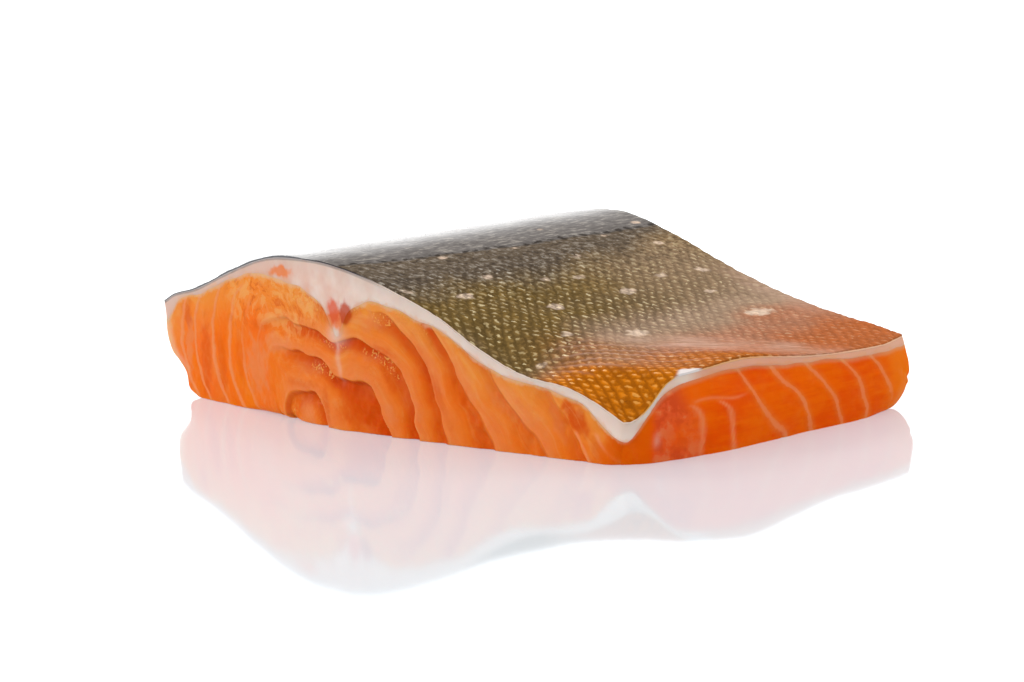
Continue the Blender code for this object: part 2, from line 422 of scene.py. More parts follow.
def lumps(x, y, z, *layers):
    """Smooth random heights, summed over layers of (lump size, seed, height)."""
    total = np.zeros_like(x)
    for size, seed, height in layers:
        draw = np.random.default_rng(seed)
        waves = np.zeros_like(x)
        for _ in range(WAVE_COUNT):
            heading = draw.normal(size=3) * (math.pi / (2 * size))
            phase = draw.uniform(0, math.tau)
            waves += np.sin(x * heading[0] + y * heading[1] + z * heading[2] + phase)
        total += height * waves / math.sqrt(WAVE_COUNT)
    return total


def fat_top(x, y):
    return skin_bottom(x, y) - VISIBLE_GAP


def fat_bottom(x, y):
    depth = FAT_THICKNESS * (1 - THIN_FAT * blot(x, y, THIN_FAT_SPOT))
    depth = depth + sum(swell(x, *shape) for shape in FAT_SWELLS)
    depth = depth + smooth(*FAT_CORNER_X, x) * swell(y, *FAT_CORNER)
    return skin_bottom(x, y) - LAYER_GAP - depth + lumps(x, y, 0 * x, *RAGGED)


def flesh_top(x, y):
    return fat_bottom(x, y) + LAYER_OVERLAP


def underside(x, y):
    return np.zeros_like(x)


crest_x, crest_y = (np.array([value]) for value in CREST_PLACE)
fat_depth = fat_top(crest_x, crest_y) - fat_bottom(crest_x, crest_y)
print("the fat at the crest is", round(float(fat_depth[0]), 4), "m deep")

# %% [markdown]
# ## One box for every layer
# Each layer is a box with gridded sides: a grid, extruded up, with its upright edges
# subdivided. The box is one unit each way, so a vertex's coordinates are its shares of the
# way across, along and up, and the outlines turn those shares into a place.

# %% Gridded boxes
TINY = 1e-6
WEDGE_PULL, WEDGE_REACH = 0.45, 0.10


def gridded_box(across_steps, along_steps, up_steps):
    mesh = bmesh.new()
    bmesh.ops.create_grid(mesh, x_segments=across_steps, y_segments=along_steps, size=0.5)
    bmesh.ops.translate(mesh, vec=(0.5, 0.5, 0.0), verts=mesh.verts)
    raised = bmesh.ops.extrude_face_region(mesh, geom=mesh.faces[:], use_keep_orig=True)["geom"]
    raised = [item for item in raised if isinstance(item, bmesh.types.BMVert)]
    bmesh.ops.translate(mesh, vec=(0.0, 0.0, 1.0), verts=raised)
    upright = [edge for edge in mesh.edges if edge.verts[0].co.z != edge.verts[1].co.z]
    if up_steps > 1:
        bmesh.ops.subdivide_edges(mesh, edges=upright, cuts=up_steps - 1)
    bmesh.ops.recalc_face_normals(mesh, faces=mesh.faces)
    return mesh


def refine_side(mesh, axis, level, cuts):
    """Splits the squares of the side where the axis' share is level."""
    edges = [edge for edge in mesh.edges if all(abs(vert.co[axis] - level) < TINY for vert in edge.verts)]
    bmesh.ops.subdivide_edges(mesh, edges=edges, cuts=cuts, use_grid_fill=True)


def read_shares(mesh):
    return np.clip(np.array([vert.co[:] for vert in mesh.verts]).T, 0.0, 1.0)


def write_points(mesh, points):
    for vert, point in zip(mesh.verts, np.stack(points, axis=1)):
        vert.co = point


def crowd(shares, along_power, up_power):
    """More rows at the fat's wedge, at the near cut and near the table."""
    across, along, up = shares
    wedge = (FAT_WEDGE[0] - BACK_X) / (FAR_BELLY_X - BACK_X)
    across = across - (across - wedge) * swell(across, wedge, WEDGE_REACH, WEDGE_PULL)
    return across, along ** along_power, up ** up_power


trial = gridded_box(4, 3, 2)
print("a small box has", len(trial.faces), "faces")
trial.free()

# %% [markdown]
# ## From shares to places
# How far the sides draw in depends on the height, and the height of a layer depends on
# where the sides are. So a vertex is placed in a few rounds, each from the height that the
# round before it gave.

# %% Placing a layer
PLACING_ROUNDS = 6
BACK_FACE_INSET = [(0.0, 0.0150), (0.0015, 0.0098), (0.006, 0.0080), (0.0105, 0.0020),
                   (0.014, 0.0004), (0.022, 0.0)]
BELLY_BULGE, BELLY_BULGE_HEIGHT = 0.0014, 0.0070
NEAR_RIM, NEAR_RIM_LIFT, FAR_RIM = 0.0003, (-0.036, 0.011, 0.0020), 0.0060


def rim_inset(z, radius):
    return radius - np.sqrt(radius ** 2 - np.clip(radius - z, 0.0, radius) ** 2)


def belly_bulge(z):
    """How far the belly side draws in above and below its widest height."""
    return BELLY_BULGE * np.clip(abs(z / BELLY_BULGE_HEIGHT - 1), 0.0, 1.0) ** 2


def place_in_layer(shares, bottom, top):
    across, along, up = shares
    belly_x = curve_through(BELLY_EDGE, NEAR_Y + (FAR_BELLY_Y - NEAR_Y) * along)
    z = np.full_like(across, BELLY_BULGE_HEIGHT)
    for _ in range(PLACING_ROUNDS):
        back = BACK_X + curve_through(BACK_FACE_INSET, z)
        x = back + (belly_x - belly_bulge(z) - back) * across
        near = near_y(x) + rim_inset(z, NEAR_RIM + swell(x, *NEAR_RIM_LIFT))
        y = near + (far_y(x) - rim_inset(z, FAR_RIM) - near) * along
        z = bottom(x, y) + (top(x, y) - bottom(x, y)) * up
    return x, y, z


def store(mesh, **layers):
    """Keeps numbers for each vertex, for the finish to read by name."""
    for name, values in layers.items():
        layer = mesh.verts.layers.float.new(name)
        for vert, value in zip(mesh.verts, values):
            vert[layer] = value


def add_piece(name, mesh, finish, node):
    data = bpy.data.meshes.new(name)
    mesh.to_mesh(data)
    mesh.free()
    data.materials.append(finish.material)
    data.shade_smooth()
    data.set_sharp_from_angle(angle=math.radians(50))
    piece = bpy.data.objects.new(name, data)
    bpy.context.scene.collection.objects.link(piece)
    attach(piece, "root")
    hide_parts(node)
    data.calc_loop_triangles()
    print(name, "has", len(data.loop_triangles), "triangles")
    return piece


print("the belly side draws in by", round(float(belly_bulge(0.0)), 4), "m at the table")

# %% [markdown]
# ## Flakes
# Fish muscle is a stack of nested cones with thin white sheets of connective tissue between
# them. A cut across the fish shows them as arches, and a cut along it as slanted lines. One
# field numbers the cones, and its whole numbers are the sheets, so the same field gives the
# lines on every face.

# %% The flake field
CONE_X, FLAKE_PITCH = -0.0185, 0.0086
SHEETS_TO_BELLY = [(0.0, 0), (0.0077, 1), (0.0273, 2), (0.0369, 3), (0.046, 4), (0.059, 5),
                   (0.073, 6), (0.084, 7), (0.1005, 8), (0.117, 9)]
SHEETS_TO_BACK = [(0.0, 0), (0.014, 1), (0.019, 2), (0.023, 3), (0.0304, 4), (0.0367, 5),
                  (0.0454, 6), (0.054, 7), (0.0605, 8), (0.070, 9)]
SHEETS_UP = [(0.0, 0), (0.0082, 1), (0.0153, 2), (0.0215, 3), (0.0288, 4), (0.0360, 5)]
BOW_Z, BOW_CURVATURE, BOW_START = 0.0126, 32.0, 0.026
BACK_ARCH_POWER, FLANK_ARCH_POWER, BELLY_ARCH_POWER = 5.0, 2.4, 1.4
INNER_ARCH_POWER, INNER_ARCHES = 2.1, (0.9, 1.9)
BELLY_ARCH_REACH = (0.032, 0.064)
BELLY_LEAN, BELLY_LEAN_REACH = 30.0, (0.080, 0.104)
SEPTUM_DIP, SEPTUM_DIP_UP = (-0.008, 0.0045, 0.21), (0.006, 0.010, 0.022, 0.025)
LEDGE_POWER, LEDGE_LIP = 2.0, 0.90


def flake_number(x, y, z):
    past_cone, height = x - CONE_X, curve_through(SHEETS_UP, np.clip(z, 0.0, None))
    bow = BOW_CURVATURE * (z - BOW_Z) ** 2 * smooth(0.0, BOW_START, -past_cone)
    to_back = curve_through(SHEETS_TO_BACK, np.clip(bow - past_cone, 0.0, None))
    to_belly = curve_through(SHEETS_TO_BELLY, np.clip(past_cone, 0.0, None))
    straighter = smooth(*BELLY_ARCH_REACH, past_cone)
    flank_power = FLANK_ARCH_POWER + (BELLY_ARCH_POWER - FLANK_ARCH_POWER) * straighter
    across = np.where(past_cone < 0, to_back, to_belly)
    power = np.where(past_cone < 0, BACK_ARCH_POWER, flank_power)
    outer = smooth(*INNER_ARCHES, np.maximum(across, height))
    power = INNER_ARCH_POWER + (power - INNER_ARCH_POWER) * outer
    arch = (across ** power + height ** power) ** (1 / power)
    dip = swell(x, *SEPTUM_DIP) * band(*SEPTUM_DIP_UP, z)
    lean = BELLY_LEAN * z * smooth(*BELLY_LEAN_REACH, past_cone)
    return arch + dip + lean + (y - near_y(x)) / FLAKE_PITCH


def ledge_profile(number):
    """How far a flake steps back towards its outer sheet, 0 to 1."""
    share = number - np.floor(number)
    return share ** LEDGE_POWER * smooth(1.0, LEDGE_LIP, share)


print("flakes over the cone:", round(SHEETS_UP[-1][1], 0), "and towards the belly:", SHEETS_TO_BELLY[-1][1])

# %% [markdown]
# ## Marks in the flesh
# Some marks belong to one spot: paler patches, deeper patches that are partly painted shade
# in the recesses of the arches, and wet glints, partly painted as pale highlight flecks, on the
# near cut, two cut vessels under the lateral line, and thin pale threads by the corner. Their
# shares are worked out for each vertex, and the finish lays their colours on. A soft mark is a
# middle and a half size in millimetres, a lean, and a strength.

# %% Soft marks, vessels and threads
SOFT_EDGE = (1.35, 0.45)
PALE_MARKS = [(-77, 11, 2.2, 8, 0.30, 0.75), (-42, 10, 5, 6, 0.0, 0.75), (-31, 16.5, 6, 2.4, 0.1, 0.80),
              (-19, 12.2, 6, 1.6, -0.1, 0.55), (6, 23.5, 5, 2.0, -0.2, 0.60),
              (-21, 3.5, 3.5, 3.5, 0.0, 0.75), (58, 8, 1.3, 5, -0.35, 0.55), (16, 9, 2.0, 6, -0.5, 0.55),
              (2, 8.9, 4, 1.3, -0.3, 0.55), (47, 9, 5, 4, -1.0, 0.50), (-8, 21, 1.5, 2, 0.0, 0.4),
              (5, 16.2, 5, 1.3, -0.25, 0.55), (33, 14, 2.2, 6, -0.5, 0.5), (24, 15, 1.8, 6, -0.5, 0.45),
              (10, 5, 1.4, 2.4, -0.3, 0.6)]
# Deeper patches; many of them are painted shade in the recesses of the arches.
SHADE_AND_DEEP_MARKS = [(-76, 20.5, 2.8, 3.6, 0.1, 0.70), (63.5, 8.2, 3.2, 3.6, -0.45, 1.0),
              (0, 4.5, 7, 4.0, 0.0, 0.60), (75.5, 2.4, 4.2, 3.2, 0.0, 1.0), (69, 2.5, 2.0, 2.8, -0.3, 0.55),
              (-68, 10, 3.0, 9, 0.15, 0.50), (-60, 9, 2.4, 8, 0.0, 0.45), (-12, 5, 1.6, 4, -0.1, 0.50),
              (-37, 20, 5, 1.4, 0.2, 0.35), (-50, 12, 2.2, 7, 0.0, 0.30), (11, 13, 2.4, 5, -0.55, 0.55),
              (8, 17.4, 5, 1.3, -0.35, 0.60), (24, 12, 1.6, 8, -0.55, 0.45), (34, 8, 1.6, 6, -0.6, 0.40),
              (-21, 8.4, 6, 1.2, 0.1, 0.35)]
# Places of wet glints: a glossier coat there, and pale flecks of painted highlight.
GLITTER = [(-17, 27, 6, 1.5, -1.0, 0.8), (-11.5, 24, 1.2, 2.5, -0.6, 0.9), (-13, 12, 5, 1.8, -1.5, 0.9),
           (-15, 6.5, 2.6, 2.2, 0.0, 0.9), (-11, 18, 4, 1.2, -0.8, 0.6), (8, 15, 6, 3.2, -0.9, 1.0),
           (10.5, 24.5, 4, 1.6, -0.8, 1.0), (16, 25, 3, 1.5, -0.5, 0.9), (22, 22, 3, 1.8, -0.6, 0.8),
           (3, 11, 5, 1.2, -0.3, 0.7), (-4, 17.8, 2, 1.0, 0.0, 0.7), (-27, 1.8, 2.4, 1.4, 0.0, 0.8),
           (31, 20, 2, 2, -0.6, 0.5), (1, 26, 2.5, 1.2, 0.0, 0.6), (19, 9, 1.2, 3, -0.5, 0.4)]
VESSELS = {"pale_vessel": (-0.0055, 0.0252, 0.0021, 0.0026), "dark_vessel": (-0.0014, 0.0249, 0.0020, 0.0022)}
VESSEL_WAVER, VESSEL_WAVER_UP = (0.0016, 43, 0.00025), (0.0015, 45, 0.00035)
THREADS = [[(0.0, 0.0662), (0.0022, 0.0652), (0.0042, 0.0640), (0.0062, 0.0630)],
           [(0.0, 0.0735), (0.0020, 0.0712), (0.0042, 0.0694), (0.0062, 0.0684)]]
SIDE_THREADS = [[(0.0, -0.0398), (0.0050, -0.0398), (0.0085, -0.0405), (0.0100, -0.0420)],
                [(0.0, -0.0326), (0.0040, -0.0332), (0.0080, -0.0340), (0.0100, -0.0362)]]
THREAD_WIDTH, THREAD_TOP, SIDE_THREAD_TOP = 0.0005, (0.0062, 0.0052), (0.0102, 0.0094)
JOINT_Z, JOINT_WIDTH, JOINT_SHARE = 0.0102, 0.0003, 0.6
JOINT_WAVE, JOINT_TURNS, JOINT_ALONG = 0.0004, 500, (-0.0415, -0.0405, -0.0320, -0.0280)


def marks_at(x, z, marks, rough, edge=SOFT_EDGE):
    """Shares of soft marks, whose places and sizes are in millimetres."""
    total = np.zeros_like(x)
    for middle_x, middle_z, wide, high, lean, strength in marks:
        off_z = z * 1000 - middle_z
        distance = np.hypot((x * 1000 - middle_x - lean * off_z) / wide, off_z / high)
        total = np.maximum(total, strength * smooth(*edge, distance + rough))
    return total


def vessel_marks(x, z):
    """Shares of the two vessels, which lie at the border of fat and flesh."""
    across, upward = x + lumps(x, x, z, VESSEL_WAVER), z + lumps(x, z, x, VESSEL_WAVER_UP)
    return {name: blot(across, upward, vessel) for name, vessel in VESSELS.items()}


def thread_marks(x, y, z, side):
    """Shares of the thin pale threads by the corner, on the near cut and the belly side."""
    joint_z = JOINT_Z + JOINT_WAVE * np.sin((y - JOINT_ALONG[0]) * JOINT_TURNS)
    total = JOINT_SHARE * band(*JOINT_ALONG, y) * swell(z, joint_z, JOINT_WIDTH) * (side > 0.6)
    faces = [(x, THREADS, THREAD_TOP, side < 0.4), (y, SIDE_THREADS, SIDE_THREAD_TOP, side > 0.6)]
    for place, threads, top, face in faces:
        for thread in threads:
            line = swell(place, curve_through(thread, z), THREAD_WIDTH)
            total = np.maximum(total, smooth(*top, z) * line * face)
    return total


print(len(PALE_MARKS), "pale and", len(SHADE_AND_DEEP_MARKS), "deep marks, and", len(GLITTER), "places of glitter")

# %% [markdown]
# ## Zones of the flesh
# Other marks cover a zone: where sheets show as lines, where the flakes are shaded, the pale
# membrane round the corner, the septum that hangs from the lateral line, and the pale rim of
# the trimmed back.

# %% Zones of the flesh
SIDE_BLEND = 0.0045
CUT_ONLY, SIDE_ONLY, CREASED_SIDE = (0.7, 0.3), (0.5, 0.9), (0.5, 0.8)
ROUGH_MARKS, DEEP_ROUGHNESS = [(0.0018, 22, 0.22), (0.0007, 23, 0.15)], 0.6
SEPTUM, SEPTUM_WAVER, SEPTUM_UP = (-0.0055, 0.0008), (0.004, 21, 0.0006), (0.008, 0.014)
SEPTUM_WHITE_UP, SEPTUM_LOW_SHARE = (0.016, 0.019), 0.55
SEPTUM_KNOT, SEPTUM_KNOT_SHARE = (-0.0056, 0.0200, 0.0029, 0.0021), 1.1
CREASE, CREASE_UP, CREASE_SHARE = (-0.0484, 0.0006), (0.0042, 0.0012), 0.6
BY_VESSELS, BY_VESSELS_SHARE = (-0.0044, 0.0225, 0.0070, 0.0034), 1.6
SIDE_LEAN, SIDE_LEAN_Z, JOINED_Y, LINED_END = 0.65, 0.015, (-0.0350, -0.0375), (0.0085, 0.0105)
CORNER_X = (0.056, 0.060)
FASCIA_START, FASCIA_END, FASCIA_LEAN, FASCIA_LEAN_Z = (-0.0495, -0.0480), (-0.0395, -0.0445), 0.25, 0.008
FASCIA_SHARE, FASCIA_PATCHES = 0.8, (0.003, 31, 0.25)
TIP_Y, TIP_X, TIP_LEAN, TIP_LEAN_Z, TIP_ROUGH = (-0.0484, -0.0500), (0.0685, 0.0720), 0.5, 0.004, 0.0006
SHADED_X, LESS_SHADED_X, LESS_SHADED = (-0.034, -0.020), (0.024, 0.050), 0.35
SHADE_SHARE, SHADE_PATCHES = 0.80, (0.010, 24, 0.25)
PALE_BACK_REACH, PALE_BACK_UP, PALE_BACK_ROUGH = (0.0046, 0.0008), (0.004, 0.010), 0.001


def side_share(x, y, belly):
    """0 on the near cut and 1 on the belly side, easing over from one to the other."""
    past_cut = smooth(0.0, SIDE_BLEND, y - near_y(x))
    before_edge = smooth(0.0, SIDE_BLEND, curve_through(BELLY_EDGE, y) - x)
    return np.where(belly > 0.5, 0.5 + 0.5 * past_cut, 0.5 - 0.5 * before_edge)


def septum_mark(x, y, z, side):
    """The septum with its knot, and a painted highlight along the crease in the membrane by the corner."""
    line = swell(x + lumps(x, y, z, SEPTUM_WAVER), *SEPTUM) * smooth(*SEPTUM_UP, z)
    line = line * (SEPTUM_LOW_SHARE + (1 - SEPTUM_LOW_SHARE) * smooth(*SEPTUM_WHITE_UP, z))
    knot = SEPTUM_KNOT_SHARE * blot(x, z, SEPTUM_KNOT)
    # A painted highlight along the crease in the membrane.
    crease_highlight = swell(y, *CREASE) * swell(z, *CREASE_UP) * smooth(*CREASED_SIDE, side)
    return np.maximum(np.maximum(line, knot), CREASE_SHARE * crease_highlight)


def flesh_marks(x, y, z, side, calm):
    """Shares of all marks and zones of the flesh, by name."""
    cut, rough = smooth(*CUT_ONLY, side), lumps(x, y, z, *ROUGH_MARKS)
    joined = side * smooth(*JOINED_Y, y + SIDE_LEAN * (z - SIDE_LEAN_Z))
    lined = np.clip((1 - calm) * (1 - joined), 0, 1) * (1 - side * smooth(*LINED_END, y))
    fascia = smooth(*FASCIA_START, y) * smooth(*FASCIA_END, y + FASCIA_LEAN * (z - FASCIA_LEAN_Z))
    fascia = fascia * smooth(*SIDE_ONLY, side) * (FASCIA_SHARE + lumps(x, y, z, FASCIA_PATCHES))
    tip = smooth(*TIP_Y, y) * smooth(*TIP_X, x - TIP_LEAN * (z - TIP_LEAN_Z) + TIP_ROUGH * rough)
    shade = smooth(*SHADED_X, x) * (1 - LESS_SHADED * smooth(*LESS_SHADED_X, x)) * (1 - calm)
    shade = shade * (SHADE_SHARE + lumps(x, y, z, SHADE_PATCHES))
    back_edge = x - BACK_X - curve_through(BACK_FACE_INSET, z)
    pale_back = smooth(*PALE_BACK_REACH, back_edge + PALE_BACK_ROUGH * rough) * smooth(*PALE_BACK_UP, z)
    return {"septum": septum_mark(x, y, z, side), "thread": thread_marks(x, y, z, side),
            "lined": lined * (1 - cut * smooth(*CORNER_X, x)), "shade": np.clip(shade, 0, 1),
            "fascia": np.clip(fascia, 0, 1), "tip": tip, "pale_back": pale_back,
            "by_vessels": cut * np.clip(BY_VESSELS_SHARE * blot(x, z, BY_VESSELS), 0, 1),
            "pale_mark": cut * marks_at(x, z, PALE_MARKS, rough),
            "deep_and_shade_mark": cut * marks_at(x, z, SHADE_AND_DEEP_MARKS, rough * DEEP_ROUGHNESS),
            "glitter": cut * marks_at(x, z, GLITTER, rough), **vessel_marks(x, z)}


print("the septum is about", 2 * SEPTUM[1], "m wide")

# %% [markdown]
# ## The flesh mesh
# Both sawn faces that show get twice as many squares. Each flake steps back a little more
# towards its outer sheet, deepest round the cone, and fine lumps break the steps up. In a
# few calm spots the photo shows no steps.

# %% The flesh mesh
FLESH_STEPS = (240, 60, 44)
FLESH_ALONG_POWER, FLESH_UP_POWER = 1.2, 1.15
FLESH_CORNER_RADIUS, FAT_CORNER_RADIUS, CORNER_WIDENS = 0.0050, 0.0018, (0.009, 0.004)
WOBBLE = [(0.009, 3, 0.10), (0.003, 7, 0.045)]
CALM_SPOTS = [(-0.038, 0.007, 0.008, 0.009), (-0.044, 0.018, 0.006, 0.008), (0.0052, 0.0248, 0.0056, 0.0036)]
CROWN, CROWN_UP, CROWN_ACROSS = 0.95, (0.0225, 0.0260), (-0.049, -0.044, -0.016, -0.010)
LEDGE_DEPTH, CONE_LEDGE, LEDGE_FADE_POWER = 0.0005, (CONE_X, 0.040, 0.0012), 6
STEPPED_X, BACK_LEDGE, CALM_LEDGE, BELLY_LEDGE = (-0.040, -0.026), 0.25, 0.1, 0.3
UNEVEN_LEDGES, LIPS = (0.008, 13, 0.35), (0.80, 0.16)
FINE_CRAGS, BROAD_CRAGS, CRAGGED, LIP_CRAGGED = (0.0009, 11, 0.00009), (0.004, 12, 0.00016), 0.35, 1.3


def round_corner(x, y, z, radius):
    """Rounds the upright edge between the near cut and the belly side."""
    right = 1.0 - (curve_through(BELLY_EDGE, y) - belly_bulge(z) - x) / radius
    front = 1.0 - (y - near_y(x)) / radius
    reach, small = np.maximum(right, front), np.minimum(right, front)
    inside = (small > 0.0) & (reach > 0.0)
    half_turn = math.pi / 4 * np.where(inside, small, 0.0) / np.where(inside, reach, 1.0)
    turn = np.where(right > front, math.pi / 2 - half_turn, half_turn)
    right_move = np.where(inside, (reach * np.sin(turn) - right) * radius, 0.0)
    front_move = np.where(inside, (reach * np.cos(turn) - front) * radius, 0.0)
    return x + right_move, y - front_move


def ledge_inset(x, y, z, number, calm, belly):
    """How far the flakes' steps and crags draw a side in."""
    flank = smooth(*STEPPED_X, x)
    depth = (LEDGE_DEPTH + swell(x, *CONE_LEDGE)) * (BACK_LEDGE + (1 - BACK_LEDGE) * flank)
    depth = depth * (1 - (1 - CALM_LEDGE) * calm) * (1 - (1 - BELLY_LEDGE) * belly)
    depth = depth * (1.0 + lumps(x, y, z, UNEVEN_LEDGES))
    lips = swell(number - np.floor(number), *LIPS) * flank
    crags = lumps(x, y, z, FINE_CRAGS) * (CRAGGED + LIP_CRAGGED * lips) + lumps(x, y, z, BROAD_CRAGS)
    return depth * ledge_profile(number) + crags


def make_flesh_mesh():
    mesh = gridded_box(*FLESH_STEPS)
    low = [face for face in mesh.faces if all(vert.co.z < TINY for vert in face.verts)]
    bmesh.ops.dissolve_faces(mesh, faces=low)
    refine_side(mesh, 1, 0.0, 1)
    refine_side(mesh, 0, 1.0, 1)
    across, along, up = read_shares(mesh)
    back, belly, near, far = (side * 1.0 for side in (across == 0, across == 1, along == 0, along == 1))
    shares = crowd((across, along, up), FLESH_ALONG_POWER, FLESH_UP_POWER)
    x, y, z = place_in_layer(shares, underside, flesh_top)
    number = flake_number(x, y, z) + lumps(x, y, z, *WOBBLE)
    crown = CROWN * smooth(*CROWN_UP, z) * band(*CROWN_ACROSS, x)
    calm = np.maximum.reduce([crown] + [blot(x, z, spot) for spot in CALM_SPOTS])
    inset = ledge_inset(x, y, z, number, calm, belly) * (1 - up ** LEDGE_FADE_POWER)
    x, y = x + inset * (back - belly), y + inset * (near - far)
    below_fat = flesh_top(x, y) - z
    widened = (FLESH_CORNER_RADIUS - FAT_CORNER_RADIUS) * smooth(*CORNER_WIDENS, z)
    x, y = round_corner(x, y, z, FAT_CORNER_RADIUS + widened)
    write_points(mesh, (x, y, z))
    side = side_share(x, y, belly)
    store(mesh, flake=number, below_fat=below_fat, belly=side, **flesh_marks(x, y, z, side, calm))
    return mesh


flesh_mesh = make_flesh_mesh()
print("the flesh mesh has", len(flesh_mesh.verts), "vertices")

# %% [markdown]
# ## The flesh finish
# Wet salmon is translucent, so light enters it and comes out orange a millimetre or two
# away. Inside each arch on the belly side painted shade turns the flake deep orange towards
# its outer sheet, in the recess where it steps back. On the back side and along the belly
# the sheets show as thin pale lines instead. Noise drawn out round the cone and along the
# arches makes the grain of the muscle.

# %% Colours and grain of the flesh
FLESH_VIVID, FLESH_BRIGHT = colour(252, 106, 0), colour(252, 120, 6)
FLESH_FLANK, FLESH_UPPER = colour(240, 122, 34), colour(246, 158, 66)
FLESH_PALE, FLESH_DEEP_AND_SHADE = colour(240, 138, 82), colour(214, 70, 0)
FLESH_BELLY, FLESH_BELLY_WARM, FLESH_BELLY_END = colour(244, 86, 0), colour(252, 104, 0), colour(255, 122, 0)
FLESH_SHEET, FLESH_SHEET_BELLY = colour(248, 152, 98), colour(255, 150, 98)
FLESH_SHEET_GLOW, FLESH_FIBRE = colour(244, 130, 56), colour(248, 174, 100)
FLESH_FASCIA, FASCIA_PALE, FASCIA_DEEP = colour(230, 96, 54), colour(244, 144, 92), colour(208, 60, 14)
FLESH_SEPTUM, FLESH_PAINTED_GLINT, FLESH_TIP = colour(242, 192, 172), colour(255, 184, 84), colour(238, 102, 0)
FLESH_CREVICE_SHADE, FLESH_RIM = colour(182, 66, 6), colour(244, 188, 146)
FLESH_ROSY, FLESH_TAWNY = colour(240, 126, 74), colour(224, 92, 12)
VESSEL_PALE, VESSEL_DARK = colour(226, 78, 14), colour(198, 66, 14)


def flesh_grain(flesh, spot, x, y, z, number):
    """Noise drawn out from the cone, along the arches, in patches, and along the belly side."""
    soft, fine = flesh.noise(spot, 110.0), flesh.noise(spot, 900.0, 3.0, 0.6)
    angle = maths("ARCTAN2", z, x - CONE_X) + (soft - 0.5) * 0.35
    brush = flesh.strokes(angle * 17.0, number * 0.9, y * 200.0)
    streak = flesh.strokes(angle * 5.0, number * 7.0, y * 200.0)
    patch = flesh.strokes(angle * 10.0 + (fine - 0.5) * 0.5, number * 2.2, y * 200.0, 4.0)
    side_streak = flesh.strokes(x * 200.0, y * 110.0, z * 800.0)
    return soft, fine, brush, streak, patch, side_streak


def lay_zones(flesh, tone, marks, fine, mottle):
    """Lays the colours of the membrane, the rims, the septum and the vessels."""
    belly, fascia = marks["belly"], marks["fascia"]
    uneven = ((fine - 0.5) * 0.0010 + (mottle - 0.5) * 0.0020) * (1.0 - belly * 0.85)
    rim = flesh.ramp(marks["below_fat"] + uneven, 0.0011, 0.0)
    return flesh.lay(
        tone,
        (fascia * 0.75, FLESH_FASCIA),
        (fascia * flesh.ramp(mottle, 0.50, 0.62) * 0.55, FASCIA_PALE),
        (fascia * flesh.ramp(mottle, 0.50, 0.40) * 0.50, FASCIA_DEEP),
        (marks["tip"] * 0.80, FLESH_TIP),
        (rim * (0.65 - belly * 0.30) * (1.0 - marks["by_vessels"]), FLESH_RIM),
        (marks["pale_back"] * 0.70, FLESH_RIM),
        (marks["septum"] * 0.72, FLESH_SEPTUM),
        (flesh.ramp(marks["pale_vessel"], 0.10, 0.65) * 0.80, VESSEL_PALE),
        (flesh.ramp(marks["dark_vessel"], 0.12, 0.60) * 0.88, VESSEL_DARK))


print("the deepest flesh is", [round(part, 2) for part in FLESH_DEEP_AND_SHADE], "as light")
